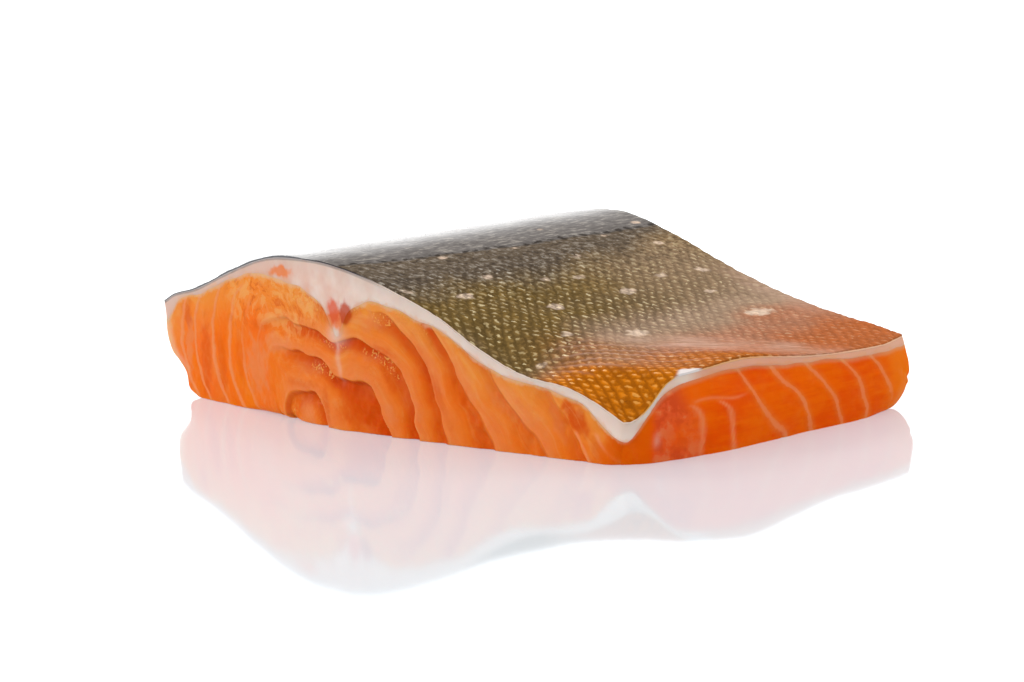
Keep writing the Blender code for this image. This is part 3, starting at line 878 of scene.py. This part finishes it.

# %% [markdown]
# ## Laying the flesh colours
# The ground tone comes first, then the arches with their veil, grain and deep sides in
# painted shade, the belly side, the pale sheets, and the marks last. Pale flecks of painted
# highlight go on the wet ledges over all of it.

# %% The flesh finish
def make_flesh_finish():
    flesh = Finish("flesh_wet")
    spot, (x, y, z) = flesh.place()
    marks = flesh.marks("flake", "below_fat", "belly", "lined", "shade", "septum", "thread", "fascia", "tip",
                        "pale_back", "by_vessels", "pale_mark", "deep_and_shade_mark", "glitter", *VESSELS)
    number, belly, lined = marks["flake"], marks["belly"], marks["lined"]
    share = number - maths("FLOOR", number)
    soft, fine, brush, streak, patch, side_streak = flesh_grain(flesh, spot, x, y, z, number)
    mottle, speck = flesh.noise(spot, 330.0, 3.0, 0.6), flesh.noise(spot, 2100.0, 2.0)
    arches = flesh.ramp(x, -0.044, -0.024) * (1.0 - belly)
    lines = 1.0 - arches
    to_sheet = maths("MINIMUM", share, 1.0 - share)
    thin = flesh.ramp(to_sheet + (fine - 0.5) * 0.12, 0.115 - belly * 0.030, 0.020)
    # Painted shade: the deep orange recess where each flake steps back towards its outer sheet.
    recess_shade = flesh.ramp(share + (mottle - 0.5) * 0.16, 0.34, 0.84) * flesh.ramp(share, 0.985, 0.955)
    recess_shade = recess_shade * arches * marks["shade"]
    veil = flesh.ramp(share + (mottle - 0.5) * 0.30, 0.62, 0.02) * arches * lined
    flake_lot = flesh.lot(maths("FLOOR", number), 0.5, 0.5)
    upper_back = flesh.ramp(z + (soft - 0.5) * 0.010, 0.015, 0.024) * (1.0 - belly)
    upper_back = upper_back * flesh.band(x, -0.060, -0.046, -0.016, -0.006)
    near_fat = flesh.ramp(marks["below_fat"] + (brush - 0.5) * 0.006, 0.0120, 0.0002) * (1.0 - belly)
    clean = (1.0 - recess_shade) * (1.0 - belly * 0.6) * (0.35 + near_fat * 0.65)
    belly_grain = flesh.ramp(soft * 0.5 + side_streak * 0.5, 0.38, 0.62)
    sheet_tone = flesh.mix(belly, FLESH_SHEET, FLESH_SHEET_BELLY)
    # Painted shade in the narrow crevice along each sheet.
    crevice_shade = flesh.band(share, 0.88, 0.94, 0.980, 0.998) * arches * lined * marks["shade"]

    tone = flesh.lay(
        flesh.mix(flesh.ramp(soft, 0.30, 0.70), FLESH_VIVID, FLESH_BRIGHT),
        (flesh.ramp(flake_lot + (soft - 0.5), 0.30, 0.80) * lines * 0.22, FLESH_ROSY),
        (arches * 0.70, FLESH_FLANK),
        (near_fat * (0.50 + flesh.ramp(x, -0.012, 0.008) * 0.24), FLESH_UPPER),
        (veil * 0.45, FLESH_PALE),
        (marks["pale_mark"] * 0.80, FLESH_PALE),
        (flesh.ramp(streak, 0.46, 0.76) * arches * 0.14, FLESH_FIBRE),
        (flesh.ramp(streak, 0.50, 0.24) * arches * 0.14, FLESH_DEEP_AND_SHADE),
        # Painted shade on the deep sides of the arches.
        (recess_shade * 0.95, FLESH_DEEP_AND_SHADE),
        (belly * 0.95, flesh.mix(belly_grain, FLESH_BELLY, FLESH_BELLY_WARM)),
        (belly * flesh.ramp(y, 0.004, 0.014) * 0.8, FLESH_BELLY_END),
        (flesh.ramp(side_streak, 0.60, 0.80) * belly * 0.22, FLESH_SHEET_GLOW),
        # Deeper patches, partly painted shade in the recesses of the arches.
        (marks["deep_and_shade_mark"] * 0.80, FLESH_DEEP_AND_SHADE),
        (flesh.ramp(to_sheet, 0.22, 0.0) * lines * lined * 0.45, FLESH_SHEET_GLOW),
        (thin * lined * (lines * (0.68 - belly * 0.12) + arches * 0.12), sheet_tone),
        (marks["thread"] * 0.74, sheet_tone),
        (flesh.ramp(patch, 0.50, 0.57) * upper_back * 0.50, FLESH_FIBRE),
        (flesh.ramp(patch, 0.45, 0.38) * upper_back * 0.65, FLESH_TAWNY),
        (flesh.ramp(brush, 0.46, 0.66) * upper_back * 0.22, FLESH_FIBRE),
        (flesh.ramp(mottle, 0.50, 0.66) * clean * 0.20, FLESH_FIBRE),
        (flesh.ramp(streak, 0.52, 0.66) * clean * arches * 0.20, FLESH_FIBRE),
        # Painted shade in the crevices along the sheets.
        (crevice_shade * 0.48, FLESH_CREVICE_SHADE))
    tone = lay_zones(flesh, tone, marks, fine, mottle)

    wet, lip = marks["glitter"], flesh.band(share, 0.55, 0.72, 0.93, 0.98)
    wet_ledge = wet * (0.25 + flesh.band(share, 0.50, 0.70, 0.90, 0.99) * 0.75)
    # Painted highlights: pale flecks on the wet ledges, with a glossier coat where they lie.
    painted_glints = flesh.ramp(speck + (fine - 0.5) * 0.6, 0.56, 0.64) * flesh.ramp(wet_ledge, 0.40, 0.70)
    tone = flesh.lay(tone, (painted_glints * 0.68, FLESH_PAINTED_GLINT))
    flesh.set(base_color=tone, roughness=0.42, specular_IOR_level=0.015)
    flesh.set(subsurface_weight=0.5, subsurface_radius=(1.0, 0.28, 0.08), subsurface_scale=0.0022)
    flesh.set(coat_weight=painted_glints * 0.30 + lip * wet * 0.10 + 0.015, coat_roughness=0.14)
    height = patch * upper_back * 1.5 + streak * arches * 0.3 + speck * (wet * 2.0 + 0.3) + mottle
    flesh.bump(height, 0.45, 0.00030)
    return flesh


add_piece("flesh_flakes", flesh_mesh, make_flesh_finish(), "flesh")

# %% [markdown]
# ## Fat
# The fat lies between flesh and skin, and dips into the flesh at the lateral line, where the
# back muscle and the belly muscle meet. Two small vessels are cut through there, and a thin
# lens of orange muscle lies in the fat over the back.

# %% The fat mesh
FAT_STEPS = (240, 60, 14)
FAT_ALONG_POWER, FAT_UP_POWER = 1.2, 1.0
FAT_CRAGS, FAT_CRAGS_UP = [(0.0016, 41, 0.00007), (0.005, 42, 0.00008)], (0.0, 0.3)
MUSCLE_LENS, LENS_WAVER = (-0.0270, 0.0322, 0.0044, 0.0011), [(0.0020, 43, 0.0006), (0.0009, 44, 0.0003)]
WHITE_KNOT, KNOT_SHARE = (-0.0055, 0.0201, 0.0022, 0.0017), 0.65
BLUSH_SPOT, BLUSH_SHARE = (-0.0044, 0.0218, 0.0064, 0.0030), 2.2
PEACH_Y, TORN_Y = (-0.0485, -0.0385), (-0.0418, 0.0024)


def make_fat_mesh():
    mesh = gridded_box(*FAT_STEPS)
    across, along, up = read_shares(mesh)
    near, belly = (along == 0) * 1.0, (across == 1) * 1.0
    shares = crowd((across, along, up), FAT_ALONG_POWER, FAT_UP_POWER)
    x, y, z = place_in_layer(shares, fat_bottom, fat_top)
    crags = lumps(x, y, z, *FAT_CRAGS) * smooth(*FAT_CRAGS_UP, up)
    x, y = round_corner(x - crags * belly, y + crags * near, z, FAT_CORNER_RADIUS)
    write_points(mesh, (x, y, z))
    waver, side = lumps(x, y, z, *LENS_WAVER), side_share(x, y, belly)
    blush = np.clip(BLUSH_SHARE * blot(x, z, BLUSH_SPOT), 0, 1) * (1 - KNOT_SHARE * blot(x, z, WHITE_KNOT))
    store(mesh, lens=blot(x + waver, z + waver * 0.5, MUSCLE_LENS), blush=blush, **vessel_marks(x, z),
          above_flesh=z - fat_bottom(x, y), below_skin=fat_top(x, y) - z,
          peach=side * smooth(*PEACH_Y, y), torn=side * swell(y, *TORN_Y))
    return mesh


fat_mesh = make_fat_mesh()
print("the fat mesh has", len(fat_mesh.verts), "vertices")

# %% [markdown]
# ## The fat finish
# Fat is white, rosier over the back and peach along the belly side. A little orange seeps
# into it from the flesh, and a dark line of pigment lies under the skin of the back.

# %% The fat finish
FAT_ROSY, FAT_WHITE, FAT_FLANK = colour(230, 178, 156), colour(242, 220, 206), colour(255, 228, 212)
FAT_GREY, FAT_PEACH, FAT_BLUSH = colour(222, 194, 180), colour(244, 164, 128), colour(244, 128, 56)
FAT_SEEP, LENS, PIGMENT = colour(246, 166, 110), colour(240, 122, 40), colour(80, 74, 78)
FAT_TORN = colour(255, 230, 212)


def make_fat_finish():
    fat = Finish("fat_wet")
    spot, (x, y, z) = fat.place()
    marks = fat.marks("above_flesh", "below_skin", "peach", "blush", "torn", "lens", *VESSELS)
    soft, fine = fat.noise(spot, 190.0), fat.noise(spot, 800.0, 2.0)
    blush = fat.ramp(marks["blush"] + (soft - 0.5) * 0.8 + (fine - 0.5) * 0.4, 0.40, 0.95)
    seep = marks["above_flesh"] + (soft - 0.5) * 0.0028 + (fine - 0.5) * 0.0016
    vessel, dark_vessel = (marks[name] + (fine - 0.5) * 0.35 for name in VESSELS)
    pigment = fat.ramp(marks["below_skin"], 0.0005, 0.0001) * fat.ramp(x, 0.014, 0.000)
    tone = fat.lay(
        fat.mix(fat.ramp(soft + x * 12.0, 0.00, 0.76), FAT_ROSY, FAT_WHITE),
        (fat.ramp(x, 0.006, 0.050) * 0.75, FAT_FLANK),
        (fat.ramp(marks["below_skin"] + (soft - 0.5) * 0.004, 0.0050, 0.0) * 0.50, FAT_GREY),
        (marks["peach"] * 0.85, FAT_PEACH),
        (blush * fat.ramp(marks["blush"], 0.04, 0.30) * 0.92, FAT_BLUSH),
        (fat.ramp(seep, 0.0008, 0.0) * 0.40, FAT_SEEP),
        (marks["torn"] * 0.8, FAT_TORN),
        (fat.ramp(marks["lens"] + (fine - 0.5) * 0.5, 0.10, 0.60) * 0.85, LENS),
        (fat.ramp(vessel, 0.12, 0.60) * 0.82, VESSEL_PALE),
        (fat.ramp(dark_vessel, 0.14, 0.55) * 0.88, VESSEL_DARK),
        (pigment * 0.45, PIGMENT))
    fat.set(base_color=tone, roughness=0.40, specular_IOR_level=0.08)
    fat.set(subsurface_weight=0.5, subsurface_radius=(1.0, 0.6, 0.4), subsurface_scale=0.002)
    fat.set(coat_weight=0.10, coat_roughness=0.12)
    fat.bump(soft + fine * 0.4, 0.25, 0.00025)
    return fat


add_piece("fat_band", fat_mesh, make_fat_finish(), "fat_layer")

# %% [markdown]
# ## Scales and folds
# The scales lie on a slanted lattice, each a small diamond wider across the fish than along
# it, and crowd together by the near corner. The mesh carries them as relief, and the
# distance over the curve of the side, kept for each vertex, lets the finish colour the same
# scales. By the near cut the loose skin lies in thin folds that fan out from one place.

# %% Scales and folds
SCALE_A, SCALE_B = (0.00215, 0.00080), (0.00195, -0.00170)
CROWDING, CROWDED_PAST, CROWDING_HEADING = 0.80, (0.062, -0.044), (0.35, -0.94)
SCALE_WARP, SCALE_WARP_ALONG = (0.0040, 62, 0.00030), (0.0040, 63, 0.00021)
FOLD_MIDDLE, FOLD_WIDTH, FOLD_BOW, FOLD_WANDER = (46.0, -53.0), 0.34, 1.2, (0.007, 54, 0.5)
FOLD_RISE, FOLD_FALL, FOLD_LOWEST = 11, 8, -4
FOLDS = [(24, 6, 30, 0.5), (33, 4, 44, 0.8), (42, 8, 50, 0.7), (50, 4, 38, 0.8), (59, 5, 42, 0.6),
         (67, 3, 26, 0.7), (76, 4, 20, 0.6), (84, 3, 14, 0.5)]


def over_curve(x):
    """Distance over the curve of the side."""
    across = np.linspace(-0.09, 0.09, 361)
    height = curve_through(SKIN_FAR, across)
    walked = np.concatenate([[0.0], np.cumsum(np.hypot(np.diff(across), np.diff(height)))])
    return np.interp(x, across, walked)


def scale_place(x, y):
    """Distances over the skin, across and along, drawn out where scales crowd at the corner."""
    s, t = over_curve(x) + lumps(x, y, 0 * x, SCALE_WARP), y + lumps(x, y, 0 * x, SCALE_WARP_ALONG)
    (start_x, start_y), (turn_x, turn_y) = CROWDED_PAST, CROWDING_HEADING
    crowded = CROWDING * past_turn((x - start_x) * turn_x + (y - start_y) * turn_y)
    return s + crowded * turn_x, t + crowded * turn_y


def scale_shares(s, t):
    """How many lattice steps a point lies along each side of the scales' diamonds."""
    (a_s, a_t), (b_s, b_t) = SCALE_A, SCALE_B
    area = a_s * b_t - a_t * b_s
    return (s * b_t - t * b_s) / area, (t * a_s - s * a_t) / area


def skin_folds(x, y):
    """Shares of the folds, whose angles are in degrees and lengths in millimetres."""
    off_x, off_y = x * 1000 - FOLD_MIDDLE[0], y * 1000 - FOLD_MIDDLE[1]
    reach, total = np.hypot(off_x, off_y), np.zeros_like(x)
    wander = lumps(x, y, 0 * x, FOLD_WANDER)
    for angle, start, end, strength in FOLDS:
        turn = math.radians(angle)
        bow = FOLD_BOW * np.sin(np.clip((reach - start) / (end - start), 0, 1) * math.pi)
        off = off_x * math.cos(turn) - off_y * math.sin(turn) + wander + bow
        along = smooth(start, start + FOLD_RISE, reach) * smooth(end, end - FOLD_FALL, reach)
        total = np.maximum(total, strength * along * (off_y > FOLD_LOWEST) * swell(off, 0.0, FOLD_WIDTH))
    return total


print("a scale is", round(SCALE_A[0] + SCALE_B[0], 5), "m wide, and the folds are", len(FOLDS))

# %% [markdown]
# ## Marks on the skin
# The marks of the skin are placed in plan: the dashed lateral line, pale spots, gold and
# rust by the near corner, a torn bare flap, a grey-pink film towards the front whose paleness
# is partly painted sheen, and a painted sheen at the far cut.

# %% Marks on the skin
LATERAL_LINE = [(-0.054, -0.0032), (-0.040, -0.0025), (-0.020, -0.0005), (0.0, 0.0010),
                (0.020, 0.0020), (0.045, 0.0026)]
LATERAL_PITCH, LATERAL_WIDTH, LATERAL_WANDER = 0.0035, 0.0009, (0.0016, 55, 0.0005)
DASH_WANDER, DASH_EDGE, DASH_LEAST = (0.006, 51, 0.8), (0.25, 0.75), 0.55
SPOT_EDGE, SPOT_ROUGH = (1.25, 0.35), (0.0015, 52, 0.20)
PALE_SPOTS = [(-0.5, 33, 1.3, 1.8, 0.6), (13, 26, 1.3, 1.8, 0.6), (4, 18, 1.0, 1.5, 0.5),
              (29, 22, 1.5, 2.0, 0.7), (28, 10, 1.3, 1.9, 0.7), (55, 10, 2.6, 4.0, 0.8),
              (12, 0.5, 1.2, 1.6, 0.6), (32, -5, 2.0, 2.6, 0.9), (22, -9, 1.2, 1.8, 0.7),
              (2, -8, 1.0, 1.4, 0.5), (20, -17, 1.3, 1.7, 0.7), (52, -24, 2.2, 3.2, 0.9),
              (33, -26.5, 1.7, 2.2, 1.0), (1, -28, 1.0, 1.5, 0.5), (14, -28, 1.2, 1.7, 0.6),
              (46, -37.5, 1.6, 2.1, 0.75), (21, -40.5, 1.8, 2.4, 0.9), (16, -51.5, 1.4, 1.6, 0.7),
              (51, -50, 1.2, 1.4, 0.6), (-6, 8, 0.9, 1.3, 0.4), (40, 12, 1.4, 2.0, 0.6)]
FILM_PATH = [(0.040, -0.0420), (0.050, -0.0320), (0.060, -0.0225), (0.070, -0.0165), (0.080, -0.0115),
             (0.088, -0.0090)]
FILM_WIDTHS, FILM_SPREAD, FILM_START = (0.0042, 0.0030), (0.045, 0.068), (0.046, 0.064)
FILM_SHARE, FILM_PATCHES, FILM_POWER = 0.78, (0.005, 53, 0.22), 3
SHEEN_SHARE, SHEEN_REACH, SHEEN_ACROSS = 0.5, (0.009, 0.001), (0.022, 0.040, 0.056, 0.066)
GOLD_X, GOLD_Y, GOLD_LEAN, GOLD_LEAN_X = (0.050, 0.060), (-0.040, -0.047), 0.35, 0.065
AMBER_X, AMBER_Y, AMBER_LEAN, AMBER_LEAN_X, AMBER_SHARE = (0.060, 0.073), (-0.021, -0.029), 0.4, 0.075, 0.50
RUST_SPOT, RUST_SHARE = (0.058, -0.0405, 0.0095, 0.0085), 1.3
FLAP_ENDS, FLAP_SLOPES, FLAP_EDGE = (-0.0446, -0.0370), (1.05, 0.95), 0.0004


def lateral_marks(x, y):
    """How far past the lateral line a point lies, and the share of its dashes there."""
    line_x = curve_through(LATERAL_LINE, y)
    dash = 0.5 + 0.5 * np.cos(y * math.tau / LATERAL_PITCH + lumps(x, y, 0 * x, DASH_WANDER))
    dashes = DASH_LEAST + (1 - DASH_LEAST) * smooth(*DASH_EDGE, dash)
    wander = lumps(x, y, 0 * x, LATERAL_WANDER)
    return {"past_lateral": x - line_x, "lateral": swell(x, line_x + wander, LATERAL_WIDTH) * dashes}


def film_mark(x, y):
    """The film, which spreads towards the belly, and a painted sheen at the far cut."""
    width = FILM_WIDTHS[0] + FILM_WIDTHS[1] * smooth(*FILM_SPREAD, x)
    film = np.exp(-np.abs((y - curve_through(FILM_PATH, x)) / width) ** FILM_POWER)
    film = film * smooth(*FILM_START, x) * (FILM_SHARE + lumps(x, y, 0 * x, FILM_PATCHES))
    # A painted sheen along the far cut.
    painted_sheen = SHEEN_SHARE * smooth(*SHEEN_REACH, far_y(x) - y) * band(*SHEEN_ACROSS, x)
    return film, np.maximum(film, painted_sheen)


def skin_marks(x, y):
    """Shares of each mark in plan, by name."""
    spots = [(*spot, 0.0, strength) for *spot, strength in PALE_SPOTS]
    film, film_and_sheen = film_mark(x, y)
    gold = smooth(*GOLD_X, x) * smooth(*GOLD_Y, y - GOLD_LEAN * (x - GOLD_LEAN_X))
    amber = smooth(*AMBER_X, x) * smooth(*AMBER_Y, y - AMBER_LEAN * (x - AMBER_LEAN_X))
    gold = np.maximum(gold, AMBER_SHARE * amber)
    rust = np.clip(RUST_SHARE * blot(x, y, RUST_SPOT), 0, 1) * (1 - film) * (1 - gold)
    flap = np.minimum((y - FLAP_ENDS[0]) * FLAP_SLOPES[0], (FLAP_ENDS[1] - y) * FLAP_SLOPES[1])
    bare = smooth(-FLAP_EDGE, FLAP_EDGE, x - curve_through(BELLY_EDGE, y) + flap) * smooth(0, FLAP_EDGE, flap)
    return {"spots": marks_at(x, y, spots, lumps(x, y, 0 * x, SPOT_ROUGH), SPOT_EDGE),
            "film": film_and_sheen, "folds": skin_folds(x, y), "gold": gold, "bare": bare, "rust": rust,
            **lateral_marks(x, y)}


print("pale spots:", len(PALE_SPOTS), "and the lateral line's dashes are", LATERAL_PITCH, "m apart")

# %% [markdown]
# ## The skin mesh
# Only the top of the skin needs small squares, so that side alone is refined. Each scale is
# a low dome, tilted along the fish. The relief is weaker on the back and under the film,
# and eases off at the belly edge.

# %% The skin mesh
SKIN_STEPS, SKIN_CUTS = (92, 58, 1), 3
FLANK_DENSITY = 0.12
SCALE_HEIGHT, SCALE_TILT, SCALE_LENGTHWISE = 0.00020, 0.00006, 0.6
BACK_RELIEF, FLANK_X, FILM_SMOOTHS, RELIEF_EDGE = 0.30, (0.000, 0.026), 0.75, 0.0025
UNEVEN_RELIEF, SKIN_LUMPS, SKIN_SINK = (0.004, 64, 0.35), (0.005, 61, 0.00012), 0.00005
FOLD_HEIGHT, LATERAL_GROOVE = 0.00012, 0.00006


def scale_relief(s, t):
    """A low dome for each scale, tilted a little along the fish."""
    aside, along = (2 * (steps - np.floor(steps)) - 1 for steps in scale_shares(s, t))
    dome = (1.0 - aside ** 2) * (1.0 - SCALE_LENGTHWISE * along ** 2)
    return SCALE_HEIGHT * (dome - 0.5) + SCALE_TILT * along * dome


def make_skin_mesh():
    mesh = gridded_box(*SKIN_STEPS)
    refine_side(mesh, 2, 1.0, SKIN_CUTS)
    across, along, up = read_shares(mesh)
    across = across + FLANK_DENSITY * np.sin(math.pi * across)
    x, y, z = place_in_layer((across, along, up), skin_bottom, skin_top)
    s, t = scale_place(x, y)
    marks = skin_marks(x, y)
    strength = (BACK_RELIEF + (1 - BACK_RELIEF) * smooth(*FLANK_X, x)) * (1 - FILM_SMOOTHS * marks["film"])
    strength = strength * (1 - marks["bare"]) * smooth(0.0, RELIEF_EDGE, curve_through(BELLY_EDGE, y) - x)
    relief = scale_relief(s, t) * strength * (1.0 + lumps(x, y, z, UNEVEN_RELIEF))
    relief = relief + lumps(x, y, z, SKIN_LUMPS)
    relief = relief + FOLD_HEIGHT * marks["folds"] - LATERAL_GROOVE * marks["lateral"]
    write_points(mesh, (x, y, z + (up > 0.5) * (relief - SKIN_SINK)))
    store(mesh, scale_across=s, scale_along=t, cut_edge=1.0 - up, **marks)
    return mesh


skin_mesh = make_skin_mesh()
print("the skin mesh has", len(skin_mesh.verts), "vertices")

# %% [markdown]
# ## The skin finish
# Each scale is olive or grey with a painted highlight where it would catch the light and a
# dark gap of painted shade around it. The colour runs from slate on the back through olive to
# copper at the belly.

# %% Colours of the skin
CREST, CREST_SHEEN, SLATE = colour(124, 118, 114), colour(184, 182, 182), colour(110, 95, 78)
OLIVE, OLIVE_YELLOW, BROWN = colour(146, 119, 78), colour(148, 115, 46), colour(186, 155, 128)
ROSE, COPPER, GOLD = colour(196, 134, 102), colour(204, 112, 60), colour(228, 130, 20)
SCALE_GAP, SCALE_GLINT = colour(34, 26, 14), colour(250, 230, 176)
GREY_GAP, GREY_GLINT = colour(44, 36, 32), colour(228, 218, 204)
GOLD_GAP, GOLD_GLINT = colour(100, 44, 2), colour(255, 194, 98)
SPOT, FILM_DARK, FILM_PALE_SHEEN = colour(252, 222, 196), colour(168, 136, 112), colour(222, 182, 164)
LATERAL, BARE, RUST = colour(48, 40, 34), colour(236, 226, 222), colour(190, 118, 62)
EDGE_HIGHLIGHT, EDGE_DARK, EDGE_GREY = colour(246, 196, 160), colour(62, 58, 62), colour(186, 172, 166)
EDGE_GOLD, EDGE_NEAR = colour(232, 168, 84), colour(240, 218, 202)


def skin_ground(skin, marks, lower, behind, soft, broad):
    """The colour of the skin between scales and marks, from the back to the belly, with a painted sheen
    paling the crest.
    """
    past_line, flank, far = marks["past_line"], marks["flank"], marks["far"]
    return skin.lay(
        # Paler towards the crest: a painted sheen.
        skin.mix(past_line, skin.mix(behind, CREST, CREST_SHEEN), SLATE),
        (flank, OLIVE),
        (flank * skin.ramp(broad, 0.42, 0.62) * 0.6, OLIVE_YELLOW),
        (flank * far * 0.55, BROWN),
        (skin.ramp(lower, 0.037, 0.051), BROWN),
        (skin.ramp(lower, 0.053, 0.064), ROSE),
        (skin.ramp(lower + (soft - 0.5) * 0.02, 0.062, 0.082), COPPER),
        (marks["rust"] * 0.70, RUST),
        (marks["gold"], GOLD))


def skin_edge(skin, marks, x, y):
    """The colour of the skin's own thickness at the cuts, painted as a highlight past the near corner, and
    where it shows.
    """
    on_back, off_corner = skin.ramp(x, 0.016, 0.002), skin.ramp(y, -0.0525, -0.0495)
    back_edge = skin.mix(skin.ramp(marks["cut_edge"], 0.55, 0.85), EDGE_DARK, EDGE_GREY)
    # Past the near corner the cut edge carries a painted highlight.
    edge = skin.lay(EDGE_NEAR, (off_corner, EDGE_HIGHLIGHT), (on_back, back_edge),
                    (marks["gold"] * off_corner, EDGE_GOLD), (marks["bare"], BARE))
    return skin.ramp(marks["cut_edge"] + on_back * 0.3, 0.45, 0.65), edge


print("the flank is", [round(part, 2) for part in OLIVE], "as light")

# %% [markdown]
# ## Laying the skin colours
# Over the ground come the dark gaps of painted shade and the painted bright glints of the
# scales, on the same lattice as the relief. The film with its painted sheen, the folds with a
# painted highlight on their ridges, the lateral line and the torn flap follow, and last the
# skin's own thickness at the cuts, with a painted highlight past the near corner.

# %% The skin finish
def make_skin_finish():
    skin = Finish("skin_wet")
    spot, (x, y, z) = skin.place()
    marks = skin.marks("scale_across", "scale_along", "lateral", "past_lateral", "spots", "film", "folds",
                       "gold", "rust", "bare", "cut_edge")
    soft, fine = skin.noise(spot, 90.0), skin.noise(spot, 900.0)
    broad, grit = skin.noise(spot, 34.0, 2.0), skin.noise(spot, 620.0, 4.0, 0.65)
    brushed = skin.strokes(x * 1100.0, y * 300.0, z * 400.0)
    streak = skin.strokes((x - y) * 900.0, (x + y) * 90.0, z * 0.0, 2.0)
    slant = x + (soft - 0.5) * 0.010 + (broad - 0.5) * 0.010 + maths("MAXIMUM", y, 0.0) * 0.22
    lower = slant - skin.ramp(y, -0.028, -0.048) * 0.012
    behind = skin.ramp(x, -0.004, -0.030)
    past_line = skin.ramp(marks["past_lateral"] + (fine - 0.5) * 0.0016, -0.0003, 0.0014)
    flank, far = skin.ramp(slant, 0.010, 0.026), skin.ramp(y, -0.024, 0.020)
    marks.update(past_line=past_line, flank=flank, far=far)
    spotted = skin.ramp(marks["spots"] + (grit - 0.5) * 0.9 + (fine - 0.5) * 1.1, 0.04, 0.80)
    tone = skin.lay(skin_ground(skin, marks, lower, behind, soft, broad),
                    (spotted * skin.ramp(marks["spots"], 0.02, 0.35) * 0.95, SPOT))
    # The gap tones are painted shade between the scales, and the glint tones painted highlights.
    gap_tone = skin.mix(marks["gold"], skin.mix(flank, GREY_GAP, SCALE_GAP), GOLD_GAP)
    glint_tone = skin.mix(marks["gold"], skin.mix(flank, GREY_GLINT, SCALE_GLINT), GOLD_GLINT)
    shade, bright = skin.mix(0.75, tone, gap_tone), skin.mix(0.62, tone, glint_tone)

    p, q = scale_shares(marks["scale_across"], marks["scale_along"])
    row, column = maths("FLOOR", p), maths("FLOOR", q)
    bent = 1.35 - marks["gold"] * 0.60
    p, q = p - row - 0.5 + (fine - 0.5) * bent, q - column - 0.5 + (grit - 0.5) * bent
    lot, other_lot = skin.lot(row, column, 0.5), skin.lot(row, column, 7.5)
    off_p, off_q = p + 0.04 + (lot - 0.5) * 0.30, q + 0.04 + (other_lot - 0.5) * 0.34
    glint_radius = (off_p * off_p * 15.0 + off_q * off_q * 11.0) * (1.0 - marks["gold"] * 0.12)
    clear = (1.0 - marks["film"] * 0.75) * (0.15 + skin.ramp(x, 0.000, 0.022) * 0.85) * (1.0 - far * 0.40)
    clear = clear * (1.0 - skin.ramp(lower, 0.040, 0.056) * (1.0 - marks["gold"]) * 0.45)
    broken = (fine - 0.5) * 0.45 + (grit - 0.5) * 0.55
    columns = skin.ramp(maths("ABSOLUTE", p) + broken, 0.10, 0.46)
    rows = skin.ramp(maths("ABSOLUTE", q) + broken, 0.20, 0.50) * 0.70
    glint = skin.ramp(glint_radius + (fine - 0.5) * 0.80, 0.95, 0.10) * clear
    glint = glint * (0.40 + skin.ramp(soft, 0.30, 0.60) * 0.60) * (0.15 + other_lot * 0.85)

    rough_zone, stroke = skin.ramp(x, 0.034, 0.014), skin.mix(past_line, brushed, grit)
    film_tone = skin.mix(skin.ramp(streak, 0.3, 0.7), FILM_DARK, FILM_PALE_SHEEN)
    jagged = skin.ramp(marks["lateral"] + (grit - 0.5) * 2.2 + (fine - 0.5) * 0.8, 0.35, 0.90)
    tone = skin.lay(
        tone,
        (lot * 0.45 * clear, shade),
        (skin.ramp(grit, 0.52, 0.38) * 0.45 * clear, shade),
        # Painted shade in the gaps between the scales.
        (maths("MAXIMUM", columns, rows) * clear * 0.68, shade),
        (skin.ramp(stroke, 0.52, 0.66) * rough_zone * 0.45, bright),
        (skin.ramp(stroke, 0.50, 0.36) * rough_zone * (0.35 + past_line * 0.40), shade),
        # Painted highlights on the scales.
        (glint, bright),
        (skin.ramp(fine, 0.35, 0.75) * 0.25, shade),
        # The film, its paleness partly painted sheen, with the painted sheen at the far cut.
        (marks["film"] * 0.70, film_tone),
        # A painted highlight on the ridges of the folds.
        (marks["folds"] * (0.22 + skin.ramp(x, 0.046, 0.062) * 0.26), FILM_PALE_SHEEN),
        (jagged * 0.80, LATERAL),
        (marks["bare"], BARE),
        skin_edge(skin, marks, x, y))
    gloss = (0.10 + behind * 0.75) * skin.ramp(marks["past_lateral"], 0.0005, -0.010)
    skin.set(base_color=tone, roughness=0.40, specular_IOR_level=0.0)
    skin.set(coat_weight=glint * 0.25 * (1.0 - marks["bare"]) + gloss + 0.02, coat_roughness=0.20)
    skin.bump(fine + streak * marks["film"] + stroke * rough_zone * 1.5, 0.30, 0.00025)
    return skin


add_piece("scaled_skin", skin_mesh, make_skin_finish(), "skin")
